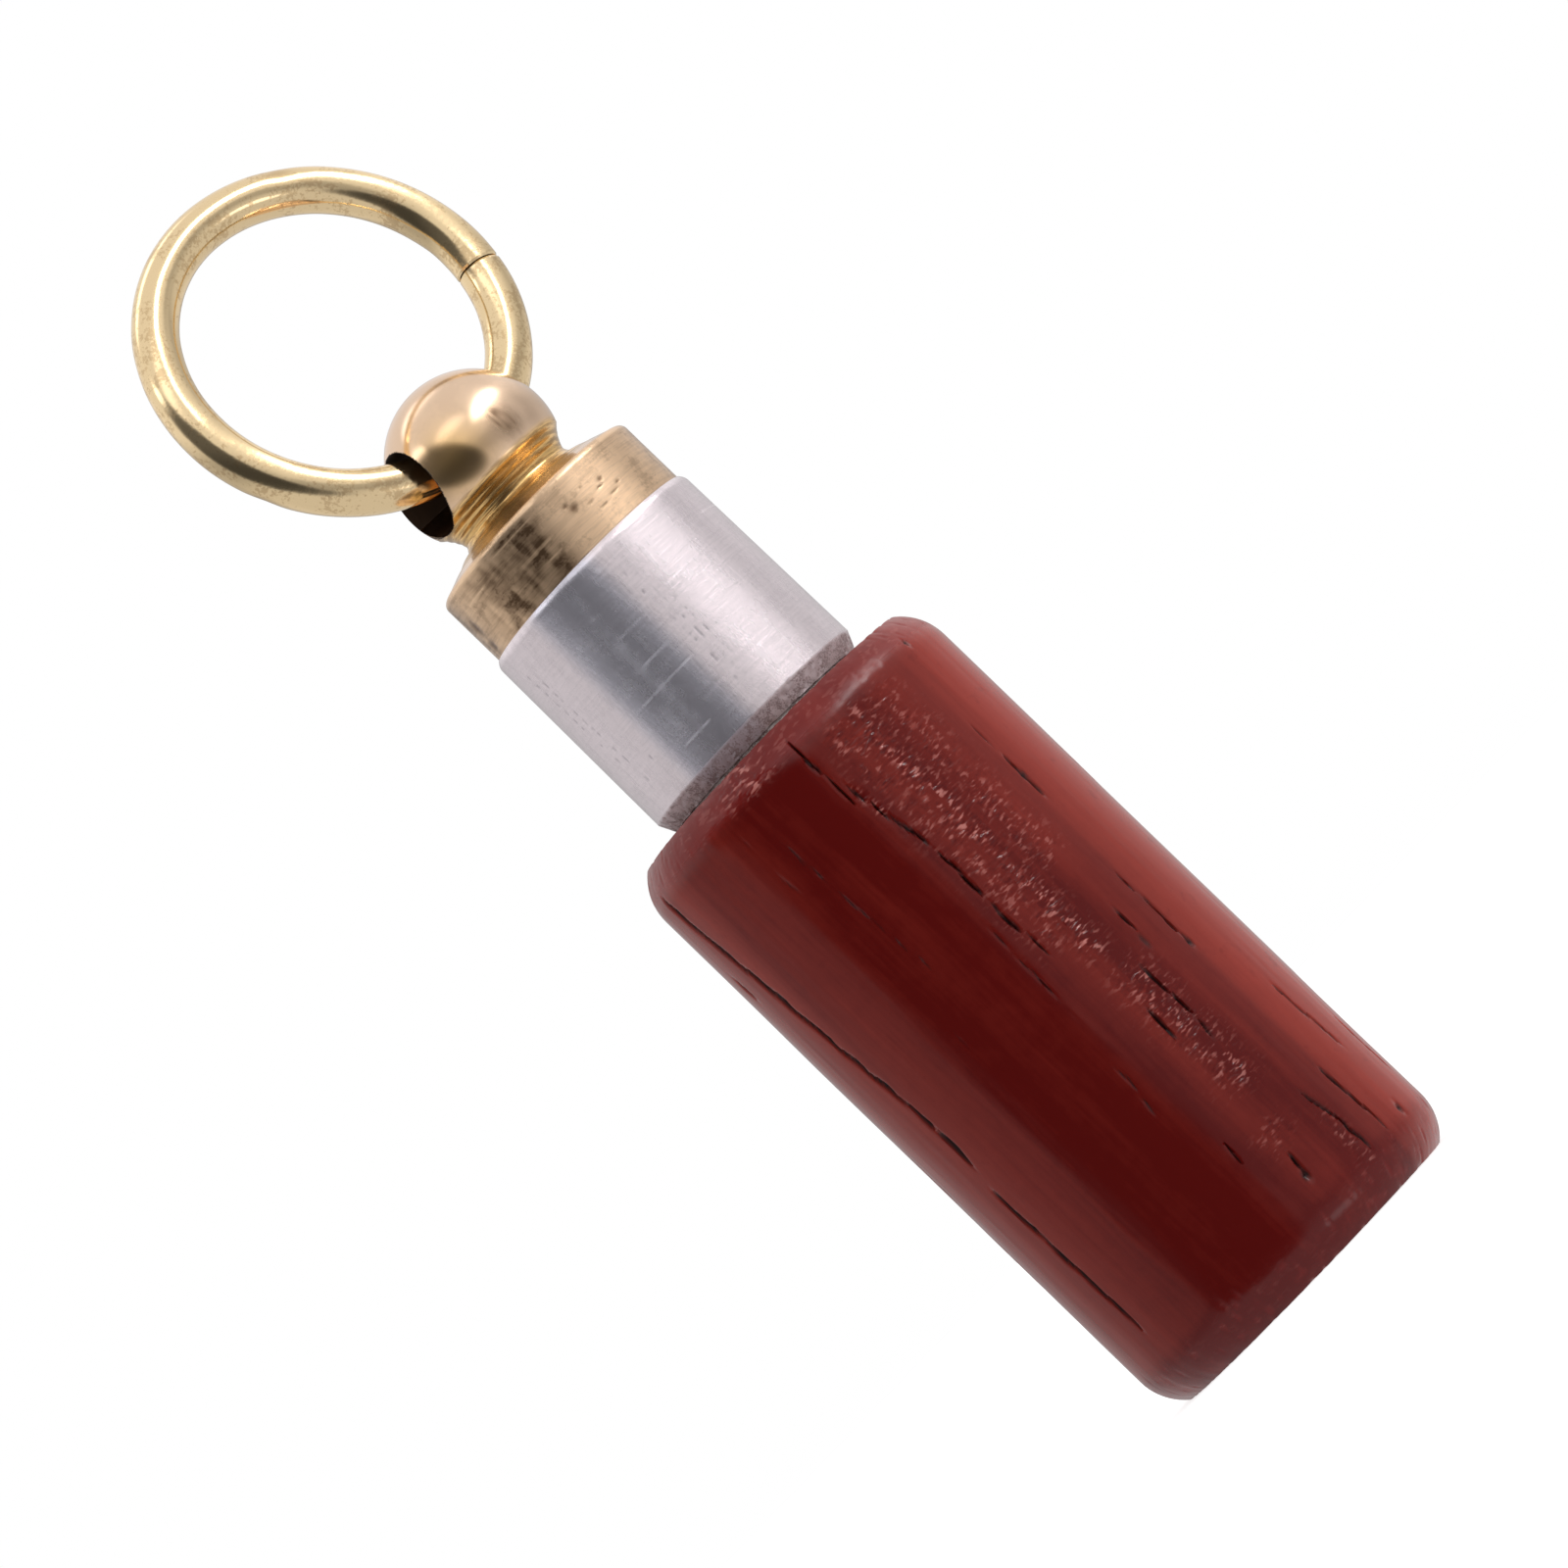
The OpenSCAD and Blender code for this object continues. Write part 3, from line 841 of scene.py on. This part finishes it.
def turned_aluminium(s):
    """Turned aluminium: fine rings from the tool, faint grey stains, a bluish film on the side that faces the
    camera, and brown grey grit on the foot's bevel."""
    material, tree, shader = new_material("turned_aluminium")
    position = object_position(tree)
    rings = place(tree, turning_lines(), {"Position": position, "Pitch": 0.12 * MM, "Breaks": 0.08})
    stains = blots(tree, stretch(tree, position, (1.0, 1.0, 0.5)), 1.1 * MM, 0.5, 0.8)
    grains = blots(tree, position, 0.7 * MM, 0.6, 0.9)
    cloud = noise(tree, stretch(tree, position, (1.0, 1.0, 0.3)), 2400.0, detail=4.0, roughness=0.7)
    clouded = product(tree, ramp(tree, cloud, 0.4, 0.7), 0.14)
    dull = total(
        tree, product(tree, stains, 0.07), clouded, product(tree, mask(tree, "scratch"), 0.7),
        product(tree, rings["Streak"], 0.08), clamp=True,
    )
    dirt = product(tree, mask(tree, "foot"), total(tree, 0.5, product(tree, grains, 0.4)))
    # Painted reflection: the side that faces the camera is tinted bluish, as its dark reflection looks.
    metal = blend(tree, mask(tree, "cool"), s.metal, s.painted_blue_reflection)
    metal = blend(tree, dull, metal, s.stain)
    metal = blend(tree, dirt, metal, s.grime)
    hazy = product(tree, mask(tree, "haze"), 0.25)
    chalky = total(tree, dirt, hazy, product(tree, mask(tree, "ring_line"), 0.3), clamp=True)
    rough = total(tree, 0.25, product(tree, clouded, 0.25), product(tree, chalky, 0.3), clamp=True)
    bare = calc(tree, "SUBTRACT", 1.0, chalky)
    fill(tree, shader, {"Base Color": metal, "Metallic": bare, "Roughness": rough})
    brushed_round(tree, shader, 0.95)
    bump(tree, shader, total(tree, rings["Height"], product(tree, cloud, 2.0)), 0.006 * MM)
    return material


class BIRDCALL_OT_plug(bpy.types.Operator):
    """Builds the turned aluminium plug with its scratches and gritty foot"""

    bl_idname = "birdcall.plug"
    bl_label = "Plug"

    def execute(self, context):
        s = context.scene.birdcall_plug
        outline, hole_floor = plug_outline(s)
        depth, masks = plug_fields(context, outline, s.columns)
        grid = revolve(outline, s.columns, depth)
        mesh = grid_mesh("aluminium_plug", grid, (0, 0, s.low), (0, 0, hole_floor), masks)
        add_piece(context, "aluminium_plug", mesh, turned_aluminium(s), "plug", "plug")
        return {"FINISHED"}


# Rosin


def rosin_film(s):
    """Dull brown rosin under pale speckled dust."""
    material, tree, shader = new_material("rosin_film")
    dust = blots(tree, object_position(tree), 0.6 * MM, 0.75, 0.9)
    rough = total(tree, 0.6, product(tree, dust, 0.25))
    fill(tree, shader, {"Base Color": blend(tree, dust, s.film, s.dust), "Roughness": rough})
    bump(tree, shader, dust, 0.03 * MM)
    return material


class BIRDCALL_OT_rosin(bpy.types.Operator):
    """Gives the rosin coat its dusty film"""

    bl_idname = "birdcall.rosin"
    bl_label = "Rosin"

    def execute(self, context):
        coat = frame["nodes"]["rosin_coat"]
        coat.data.materials.clear()
        coat.data.materials.append(rosin_film(context.scene.birdcall_rosin))
        return {"FINISHED"}


# Head

# Seed of the head's value noise.
HEAD_SEED = 29
# Depths in millimetres of the flange's pits, lines and tarnish, the neck's tool marks and the faint rings.
PIT_DEPTH, FLANGE_LINE_DEPTH, TARNISH_DEPTH, MARK_DEPTH, RING_DEPTH = 0.03, 0.012, 0.012, 0.04, 0.004
# Radius outside which the skin is the flange's, and distance between the neck's tool marks, in millimetres.
FLANGE_EDGE = 5.2
MARK_PITCH = 0.3
# The ball's stain, and its front, where a warm reflection is painted over the dark reflection of the camera
# side: angle, height above the ball's centre, half width and half height.
BALL_STAIN = (33.0, -0.1, 11.0, 0.95)
BALL_WARM_REFLECTION = (-10.0, 0.2, 26.0, 1.5)
# Columns round the cutter that drills the eye, and the angle above which the drilled head's edges stay sharp.
EYE_COLUMNS = 128
DRILLED_SHARP_ANGLE = math.radians(30)
# Dark pits on the flange: angle from the front, height, half width in degrees and half height in millimetres.
FLANGE_PITS = [
    (15, 47.05, 2.6, 0.22), (12.6, 47.35, 1.6, 0.14), (34.2, 47.2, 1.4, 0.12), (31, 46.95, 2.2, 0.06),
    (24, 47.5, 1.6, 0.06), (27, 46.2, 4, 0.05), (35, 46.35, 3, 0.05), (22, 46.7, 2, 0.05),
    (40, 46.6, 1.2, 0.07), (-70, 46.8, 3, 0.5), (-71, 45.7, 3.5, 0.35), (100, 46.8, 3, 0.3),
    (160, 47.4, 2, 0.2), (-140, 46.4, 4, 0.3),
]
# Thin bright lines round the flange: height, and the angles between which they show; and their half width.
FLANGE_RINGS = [(48.1, -30, 0), (46.85, -24, 1), (46.15, -12, 0), (47.6, -60, -40)]
FLANGE_RING_HALF = 0.08
# How brown the flange is, by angle from the front: tarnish, and on the side that faces the camera also
# painted dark reflection.
FLANGE_TARNISH_AND_REFLECTION = [
    (-180, 0.5), (-140, 0.7), (-100, 0.2), (-78, 0.7), (-66, 0.3), (-52, 0.3), (-46, 0.65), (-28, 0.85),
    (-13, 1.15), (-3, 0.9), (2, 0.13), (60, 0.13), (110, 0.5), (150, 0.2), (180, 0.45),
]


def head_outline(s):
    """Outline of the head from the middle of the stud's end: stud, flange, round rim, shoulder, fillet, cove
    and ball. The height of the ball's top is returned too."""
    rim_height = s.flange_low + s.flange_height
    shoulder = rim_height + s.shoulder_rise
    waist = shoulder + s.neck_fillet
    ball = ball_height(s)
    cove = (s.neck_radius + math.sqrt(s.cove_radius**2 - s.cove_drop**2), waist - s.cove_drop)
    spread = math.hypot(cove[0], ball - cove[1])
    reach = (s.ball_radius**2 - s.cove_radius**2 + spread**2) / (2 * spread)
    half = math.sqrt(s.ball_radius**2 - reach**2)
    toward = (cove[0] / spread, (cove[1] - ball) / spread)
    edge = (toward[0] * reach - toward[1] * half, ball + toward[1] * reach + toward[0] * half)
    cove_start = math.degrees(math.atan2(s.cove_drop, s.neck_radius - cove[0]))
    cove_end = math.degrees(math.atan2(edge[1] - cove[1], edge[0] - cove[0]))
    ball_start = math.degrees(math.atan2(edge[1] - ball, edge[0]))
    outline = profile(
        line((0.3 * MM, s.stud_low), (s.stud_radius, s.stud_low), 3),
        line((s.stud_radius, s.stud_low), (s.stud_radius, s.flange_low), 4),
        line((s.stud_radius, s.flange_low), (s.flange_radius, s.flange_low), 4),
        line((s.flange_radius, s.flange_low), (s.flange_radius, rim_height - s.rim_radius), 46),
        arc((s.flange_radius - s.rim_radius, rim_height - s.rim_radius), s.rim_radius, 0, 90, 9),
        line((s.flange_radius - s.rim_radius, rim_height), (s.neck_radius + s.neck_fillet, shoulder), 18),
        arc((s.neck_radius + s.neck_fillet, waist), s.neck_fillet, -90, -180, 9),
        arc(cove, s.cove_radius, cove_start, cove_end, 30),
        arc((0, ball), s.ball_radius, ball_start, 89.4, 84),
    )
    return outline, ball + s.ball_radius


def ball_height(s):
    """Height of the ball's centre, from the eye in the frame's ring joint."""
    joint = next(j for j in frame["joints"] if j["name"] == "ring_swing")
    return joint["pos_m"][2] - s.eye_lift


def eye_cutter(s):
    """Closed mesh of the drilled eye: a cylinder along X that widens at both mouths of the ball."""
    mouth = math.sqrt(s.ball_radius**2 - (s.eye_radius - s.eye_lift) ** 2)
    far, wide = s.ball_radius + 1 * MM, s.eye_radius + 2 * s.eye_bevel
    inner = mouth - s.eye_bevel
    outline = profile(
        line((wide, -far), (wide, -mouth - s.eye_bevel), 2),
        line((s.eye_radius, -inner), (s.eye_radius, 0.04 * MM - inner), 2),
        line((s.eye_radius, inner - 0.04 * MM), (s.eye_radius, inner), 2),
        line((wide, mouth + s.eye_bevel), (wide, far), 2),
    )
    height = ball_height(s) + s.eye_lift
    along_x = revolve(outline, EYE_COLUMNS)[:, :, [2, 0, 1]] + np.array([0.0, 0.0, height])
    bright = (np.abs(outline[:, 1:]) > inner - 0.02 * MM).astype(float)
    masks = {"skin": np.repeat(bright, EYE_COLUMNS, axis=1)}
    return grid_mesh("eye_cutter", along_x, (-far, 0, height), (far, 0, height), masks)


def head_fields(context, outline, columns):
    """Depth in metres pushed into the head, and its masks: the flange with its pits, tarnish and lines, the
    neck with its tool marks, the ball's stain and warm front, and the turned skin, which the eye lacks."""
    s = context.scene.birdcall_head
    rng = np.random.default_rng(HEAD_SEED)
    angles, heights, radii, shares = outline_grid(context, outline, columns)
    low, high = s.flange_low / MM, (s.flange_low + s.flange_height) / MM
    rise, ball = (heights - low) / (high - low), ball_height(s) / MM
    flange = smooth((radii - FLANGE_EDGE) / 0.3) * smooth((heights - low) / 0.02)
    neck = smooth((heights - high - 0.1) / 0.5) * smooth((ball - 1.1 - heights) / 0.4)

    pits = highest(oval(angles, heights, *pit) for pit in FLANGE_PITS)
    pits = pits * smooth((lattice_noise(rng, shares, rise, 150, 26) + pits - 0.5) / 0.4) * flange
    ring_lines = highest(round_line(angles, heights, *ring, FLANGE_RING_HALF) for ring in FLANGE_RINGS)
    streaks = lattice_noise(rng, shares, rise, 130, 3) * 0.6 + lattice_noise(rng, shares, rise, 60, 8) * 0.4
    below_rim = smooth((high - 0.26 - heights) / 0.2)
    aged = np.interp(angles, *zip(*FLANGE_TARNISH_AND_REFLECTION)) * smooth((streaks + 0.1) / 0.85) * flange * below_rim
    aged = aged * (1.0 - 0.75 * ring_lines)
    grooved = 0.5 + 0.5 * np.cos(2 * math.pi * heights / MARK_PITCH)
    marks = neck * grooved * lattice_noise(rng, shares, rise, 14, 30)
    stain = oval(angles, heights - ball, *BALL_STAIN, power=2)
    stain = stain * (0.5 + 0.5 * lattice_noise(rng, shares + 0.01 * rise, rise / 8.0, 190, 60))
    turning = flange * lattice_noise(rng, shares, rise, 4, 40)
    texture = (
        PIT_DEPTH * pits + FLANGE_LINE_DEPTH * ring_lines + TARNISH_DEPTH * aged * streaks
        + MARK_DEPTH * marks + RING_DEPTH * turning
    )
    masks = {
        "flange": flange,
        "pit": pits,
        "aged": aged,
        "ring_line": ring_lines * flange,
        "neck": neck,
        "stain": stain,
        "front": oval(angles, heights - ball, *BALL_WARM_REFLECTION),
        "skin": np.ones_like(angles),
    }
    return texture * MM, masks


def turned_brass(s):
    """Turned brass: a polished ball with a warm front and a stain, a deep gold neck with tool marks, a
    brushed flange with brown tarnish, pits and bright lines, and dirt in the eye."""
    material, tree, shader = new_material("turned_brass")
    position = object_position(tree)
    flange, neck, pit, front = (mask(tree, name) for name in ("flange", "neck", "pit", "front"))
    skin = ramp(tree, mask(tree, "skin"), 0.8, 0.95)
    rings = place(tree, turning_lines(), {"Position": position, "Pitch": 0.16 * MM, "Breaks": 0.08})
    cloud = noise(tree, position, 1500.0, detail=3.0, roughness=0.6)
    faint = total(tree, 0.04, product(tree, flange, 0.14))
    faint = product(tree, blots(tree, position, 1.2 * MM, 0.5, 0.4), faint)
    lines = product(tree, rings["Streak"], flange, 0.16)
    # Brown tarnish; on the side that faces the camera it is also painted dark reflection.
    aged = product(tree, mask(tree, "aged"), total(tree, 0.4, product(tree, cloud, 0.9)))
    gaps = product(tree, neck, ramp(tree, rings["Height"], 0.7, 0.9), 0.6)
    stained = total(tree, faint, lines, aged, gaps, mask(tree, "stain"), clamp=True)
    metal = blend(tree, flange, s.polished, s.brushed)
    # Painted reflection: deep gold on the neck and, a little less, a warm tint on the ball's front.
    metal = blend(tree, calc(tree, "MAXIMUM", neck, product(tree, front, 0.9)), metal, s.painted_reflection_gold)
    metal = blend(tree, stained, metal, s.tarnish)
    metal = blend(tree, product(tree, pit, 0.85), metal, s.pit_colour)
    bright = calc(tree, "SUBTRACT", 1.0, product(tree, mask(tree, "ring_line"), 0.2))
    inside = calc(tree, "SUBTRACT", 0.5, product(tree, skin, 0.5))
    rough = total(tree, 0.13, product(tree, flange, 0.15), product(tree, stained, 0.25), inside, clamp=True)
    # Painted shade with dirt: the eye's inside, which lacks the turned skin, is nearly black.
    base = blend(tree, skin, s.eye_shade_and_dirt, metal)
    fill(tree, shader, {"Base Color": base, "Metallic": product(tree, skin, bright), "Roughness": rough})
    brushed_round(tree, shader, 0.9)
    bump(tree, shader, product(tree, rings["Height"], total(tree, 0.08, flange, neck)), 0.006 * MM)
    return material


class BIRDCALL_OT_head(bpy.types.Operator):
    """Builds the turned brass head and drills the eye through its ball"""

    bl_idname = "birdcall.head"
    bl_label = "Head"

    def execute(self, context):
        s = context.scene.birdcall_head
        outline, top = head_outline(s)
        depth, masks = head_fields(context, outline, s.columns)
        grid = revolve(outline, s.columns, depth)
        blank = bpy.data.objects.new(
            "head_blank", grid_mesh("brass_head", grid, (0, 0, s.stud_low), (0, 0, top), masks)
        )
        cutter = bpy.data.objects.new("eye_cutter", eye_cutter(s))
        for made in (blank, cutter):
            context.scene.collection.objects.link(made)
        drill = blank.modifiers.new("eye", "BOOLEAN")
        drill.operation, drill.solver, drill.object = "DIFFERENCE", "EXACT", cutter
        drilled = bpy.data.meshes.new_from_object(blank.evaluated_get(context.evaluated_depsgraph_get()))
        for made in (blank, cutter):
            bpy.data.objects.remove(made)
        drilled.name = "drilled_head"
        drilled.materials.clear()
        drilled.shade_smooth()
        drilled.set_sharp_from_angle(angle=DRILLED_SHARP_ANGLE)
        add_piece(context, "brass_head", drilled, turned_brass(s), "plug", "head")
        return {"FINISHED"}


# Ring

# Seed of the wire's value noise, and the grid's steps along the wire and sides round it.
RING_SEED = 5
RING_STEPS = 480
WIRE_SIDES = 56
# Depths in millimetres of the wire's broad unevenness, of its drawn ridges and of its whole skin.
WOBBLE_DEPTH, DRAWN_DEPTH, SKIN_DEPTH = 0.014, 0.006, 0.002
# Share of the wire's radius left where its two ends are bevelled.
BUTT_SHARE = 0.93
# Plier marks on the wire: angle round the ring, angle round the wire and depth in millimetres; and their half
# sizes in degrees, along the ring and round the wire.
RING_DENTS = [
    (292, 40, 0.06), (300, 100, 0.05), (283, 80, 0.05), (83, 60, 0.06), (90, 120, 0.05), (210, 70, 0.03),
    (150, 300, 0.04), (428, 60, 0.07), (422, 120, 0.05), (78, 20, 0.05),
]
DENT_LENGTH, DENT_WIDTH = 4.5, 34.0


def ring_grid(s):
    """Round wire along a circle: at each place the wire's circle stands square to the ring's own. The wire is
    a little uneven, with drawn ridges along it and plier marks where it was bent, and its ends are bevelled.
    The middles of the two ends and the marks' mask are returned with the grid."""
    half_slit = 0.5 * s.butt_gap / s.radius
    beta = np.linspace(s.butt_angle + half_slit, s.butt_angle + 2 * math.pi - half_slit, RING_STEPS)
    v = np.arange(WIRE_SIDES) * (2 * math.pi / WIRE_SIDES)
    up = np.array([0.0, math.sin(s.lean), math.cos(s.lean)])
    across = np.array([1.0, 0.0, 0.0])
    normal = np.cross(up, across)
    bends, rounds = np.meshgrid(beta, v, indexing="ij")
    rng = np.random.default_rng(RING_SEED)
    turns, rise = rounds / (2 * math.pi), (bends - beta[0]) / (beta[-1] - beta[0])
    wobble = lattice_noise(rng, turns, rise, 6, 40)
    drawn = lattice_noise(rng, turns, rise, 16, 24)
    dents = sum(
        depth * oval(np.degrees(rounds), np.degrees(bends), middle, place_round, DENT_WIDTH, DENT_LENGTH)
        for place_round, middle, depth in RING_DENTS
    )
    ends = np.ones((RING_STEPS, 1))
    ends[[0, -1]] = BUTT_SHARE
    skin = SKIN_DEPTH + WOBBLE_DEPTH * wobble + DRAWN_DEPTH * drawn + dents
    radius = (s.wire_radius - skin * MM) * ends
    ring_out = -np.cos(beta)[:, None] * up + np.sin(beta)[:, None] * across
    wire_out = ring_out[:, None, :] * np.cos(v)[:, None] + normal * np.sin(v)[:, None]
    middle_line = np.array([0.0, 0.0, s.eye_height]) + s.reach * up + s.radius * ring_out
    grid = middle_line[:, None, :] + radius[:, :, None] * wire_out
    return grid, middle_line[0], middle_line[-1], {"dent": np.clip(dents / 0.06, 0.0, 1.0)}


def brass_wire(s):
    """Drawn brass wire: bright, with faint brown stains, darker plier marks and a fine uneven skin."""
    material, tree, shader = new_material("brass_wire")
    position = object_position(tree)
    brown = product(tree, blots(tree, position, 1.6 * MM, 0.5, 0.8), 0.34)
    worn = total(tree, brown, product(tree, mask(tree, "dent"), 0.6), clamp=True)
    base, rough = blend(tree, worn, s.brass, s.stain), total(tree, 0.13, product(tree, worn, 0.3))
    fill(tree, shader, {"Base Color": base, "Metallic": 1.0, "Roughness": rough})
    bump(tree, shader, noise(tree, position, 2600.0, roughness=0.6), 0.004 * MM)
    return material


class BIRDCALL_OT_ring(bpy.types.Operator):
    """Builds the bent brass wire ring"""

    bl_idname = "birdcall.ring"
    bl_label = "Ring"

    def execute(self, context):
        s = context.scene.birdcall_ring
        mesh = grid_mesh("wire_ring", *ring_grid(s))
        add_piece(context, "wire_ring", mesh, brass_wire(s), "ring", "ring")
        return {"FINISHED"}


# Studio

# Width of the camera's sensor in millimetres, and the nearest and farthest that it sees, in metres.
SENSOR_WIDTH = 36.0
CLIP_RANGE = (0.01, 20.0)
# Darker and brighter parts of the tent's wall: angle to the right of the camera, height, tilt, half width and
# half height in degrees, softness, and the share of light that each takes away or the brightness it adds.
TENT_OPENINGS = [(-28, 10, -36, 50, 28, 8.0, 0.86), (45, 0, 0, 40, 10, 3.0, 0.3)]
TENT_PATCHES = [
    (71, 33, 0, 25, 6, 2.0, 7.6),
    (98, 28, 0, 30, 7, 2.0, 0.2),
    (60, 4, 0, 48, 14, 3.0, 0.22),
    (-128, 0, 0, 36, 30, 2.0, 0.08),
    (145, 0, 0, 30, 30, 2.0, 0.15),
    (-160, 70, 0, 22, 9, 3.0, 1.2),
    (-62, 46, 0, 12, 6, 3.0, 1.5),
    (41, -35, 0, 14, 6, 3.0, 1.2),
    (6, 45, 0, 24, 8, 2.0, 0.7),
]


def camera_axes(s):
    """Right, up and back of the camera in the part's frame."""
    level_share = math.cos(s.climb)
    back = Vector((-math.sin(s.turn) * level_share, -math.cos(s.turn) * level_share, math.sin(s.climb)))
    level = Vector((math.cos(s.turn), -math.sin(s.turn), 0.0))
    upright = back.cross(level)
    right = math.cos(s.roll) * level + math.sin(s.roll) * upright
    up = math.cos(s.roll) * upright - math.sin(s.roll) * level
    return right, up, back


def place_camera(context, s):
    """The camera looks at its aim from the photographed side, rolled so that the call lies aslant."""
    right, up, back = camera_axes(s)
    data = bpy.data.cameras.new("camera")
    data.lens, data.sensor_width = s.lens, SENSOR_WIDTH
    data.clip_start, data.clip_end = CLIP_RANGE
    camera = bpy.data.objects.new("camera", data)
    context.scene.collection.objects.link(camera)
    turned = Matrix((right, up, back)).transposed().to_4x4()
    camera.matrix_world = Matrix.Translation(Vector(s.aim) + back * s.distance) @ turned
    context.scene.camera = camera


def lay_floor(context, s):
    """A wide pale floor, level with the barrel's foot, that glows a little, as a light table does. Glossy
    surfaces don't mirror it."""
    corners = np.array([(-1, -1, 0), (1, -1, 0), (1, 1, 0), (-1, 1, 0)], float) * s.floor_size
    mesh = bpy.data.meshes.new("floor")
    mesh.from_pydata(corners.tolist(), [], [(0, 1, 2, 3)])
    material, tree, shader = new_material("pale_floor")
    tint = blend(tree, noise(tree, object_position(tree), 6.0), (0.34, 0.34, 0.34), (0.36, 0.36, 0.355))
    glow = {"Emission Color": (1.0, 1.0, 1.0, 1.0), "Emission Strength": 0.8}
    fill(tree, shader, {"Base Color": tint, "Roughness": 0.9, **glow})
    mesh.materials.append(material)
    floor = bpy.data.objects.new("floor", mesh)
    context.scene.collection.objects.link(floor)
    floor.visible_glossy = False


def hang_tent(context, s):
    """The world is a white tent, dimmer level with the call, with darker and brighter parts in its wall. The
    camera itself sees plain white."""
    world = bpy.data.worlds.new("tent")
    world.use_nodes = True
    tree = world.node_tree
    tree.nodes.clear()
    direction = add(tree, "ShaderNodeTexCoord", {}).outputs["Generated"]
    level = add(tree, "ShaderNodeSeparateXYZ", {0: direction}).outputs["Z"]
    above = product(tree, ramp(tree, level, 0.06, 0.4), s.tent - s.horizon)
    below = product(tree, ramp(tree, level, -0.06, -0.4), s.ground - s.horizon)

    def patch(turn, height, tilt, half_width, half_height, softness):
        """The mask of one part of the wall."""
        round_z, climb = math.radians(turn - 90.0) - s.turn, math.radians(height)
        ahead = Vector((math.cos(round_z), math.sin(round_z), 0.0))
        middle = ahead * math.cos(climb) + Vector((0.0, 0.0, math.sin(climb)))
        level_side = Vector((-ahead.y, ahead.x, 0.0))
        side = Matrix.Rotation(math.radians(tilt), 3, middle) @ level_side
        inputs = {
            "Direction": direction, "Middle": middle, "Side": side, "Up": middle.cross(side),
            "Half width": math.sin(math.radians(half_width)),
            "Half height": math.sin(math.radians(half_height)), "Softness": softness,
        }
        return place(tree, tent_patch(), inputs)["Mask"]

    added = (product(tree, patch(*shape), adds) for *shape, adds in TENT_PATCHES)
    light = total(tree, s.horizon, above, below, *added)
    for *shape, takes in TENT_OPENINGS:
        light = product(tree, light, calc(tree, "SUBTRACT", 1.0, product(tree, patch(*shape), takes)))
    wall = add(tree, "ShaderNodeBackground", {"Color": (1.0, 0.975, 0.98, 1.0), "Strength": light})
    seen = add(tree, "ShaderNodeBackground", {"Color": (1.0, 1.0, 1.0, 1.0), "Strength": 1.0})
    ray = add(tree, "ShaderNodeLightPath", {}).outputs["Is Camera Ray"]
    mixed = add(tree, "ShaderNodeMixShader", {0: ray, 1: wall.outputs[0], 2: seen.outputs[0]})
    add(tree, "ShaderNodeOutputWorld", {"Surface": mixed.outputs[0]})
    context.scene.world = world


class BIRDCALL_OT_studio(bpy.types.Operator):
    """Sets the camera, the pale floor and the soft white tent"""

    bl_idname = "birdcall.studio"
    bl_label = "Studio"

    def execute(self, context):
        s = context.scene.birdcall_studio
        place_camera(context, s)
        lay_floor(context, s)
        hang_tent(context, s)
        context.scene.view_settings.view_transform = "Standard"
        return {"FINISHED"}


class BIRDCALL_PT_sidebar(bpy.types.Panel):
    """Lists the pieces of the bird call, in the order in which they are built"""

    bl_idname = "BIRDCALL_PT_sidebar"
    bl_label = "Bird call"
    bl_space_type = "VIEW_3D"
    bl_region_type = "UI"
    bl_category = "Bird call"

    def draw(self, context):
        for operator in OPERATORS:
            self.layout.operator(operator.bl_idname)
        for name in SETTINGS:
            box = self.layout.box()
            settings = getattr(context.scene, name)
            for item in settings.bl_rna.properties:
                if item.identifier not in ("rna_type", "name"):
                    box.prop(settings, item.identifier)


SETTINGS = {
    "birdcall_barrel": BarrelSettings,
    "birdcall_plug": PlugSettings,
    "birdcall_rosin": RosinSettings,
    "birdcall_head": HeadSettings,
    "birdcall_ring": RingSettings,
    "birdcall_studio": StudioSettings,
}
OPERATORS = (
    BIRDCALL_OT_studio,
    BIRDCALL_OT_barrel,
    BIRDCALL_OT_plug,
    BIRDCALL_OT_rosin,
    BIRDCALL_OT_head,
    BIRDCALL_OT_ring,
)


def register():
    """Registers the settings, the operators and the panel."""
    for name, group in SETTINGS.items():
        bpy.utils.register_class(group)
        setattr(bpy.types.Scene, name, PointerProperty(type=group))
    for made in (*OPERATORS, BIRDCALL_PT_sidebar):
        bpy.utils.register_class(made)


def unregister():
    """Takes back what register() added, in the opposite order."""
    for made in (BIRDCALL_PT_sidebar, *reversed(OPERATORS)):
        bpy.utils.unregister_class(made)
    for name, group in reversed(SETTINGS.items()):
        delattr(bpy.types.Scene, name)
        bpy.utils.unregister_class(group)


def main():
    """Registers the classes, builds every piece in order and writes the sizes before and after."""
    register()
    bpy.ops.birdcall.studio()
    bpy.ops.birdcall.barrel()
    bpy.ops.birdcall.plug()
    bpy.ops.birdcall.rosin()
    bpy.ops.birdcall.head()
    bpy.ops.birdcall.ring()


if __name__ == "__main__":
    main()
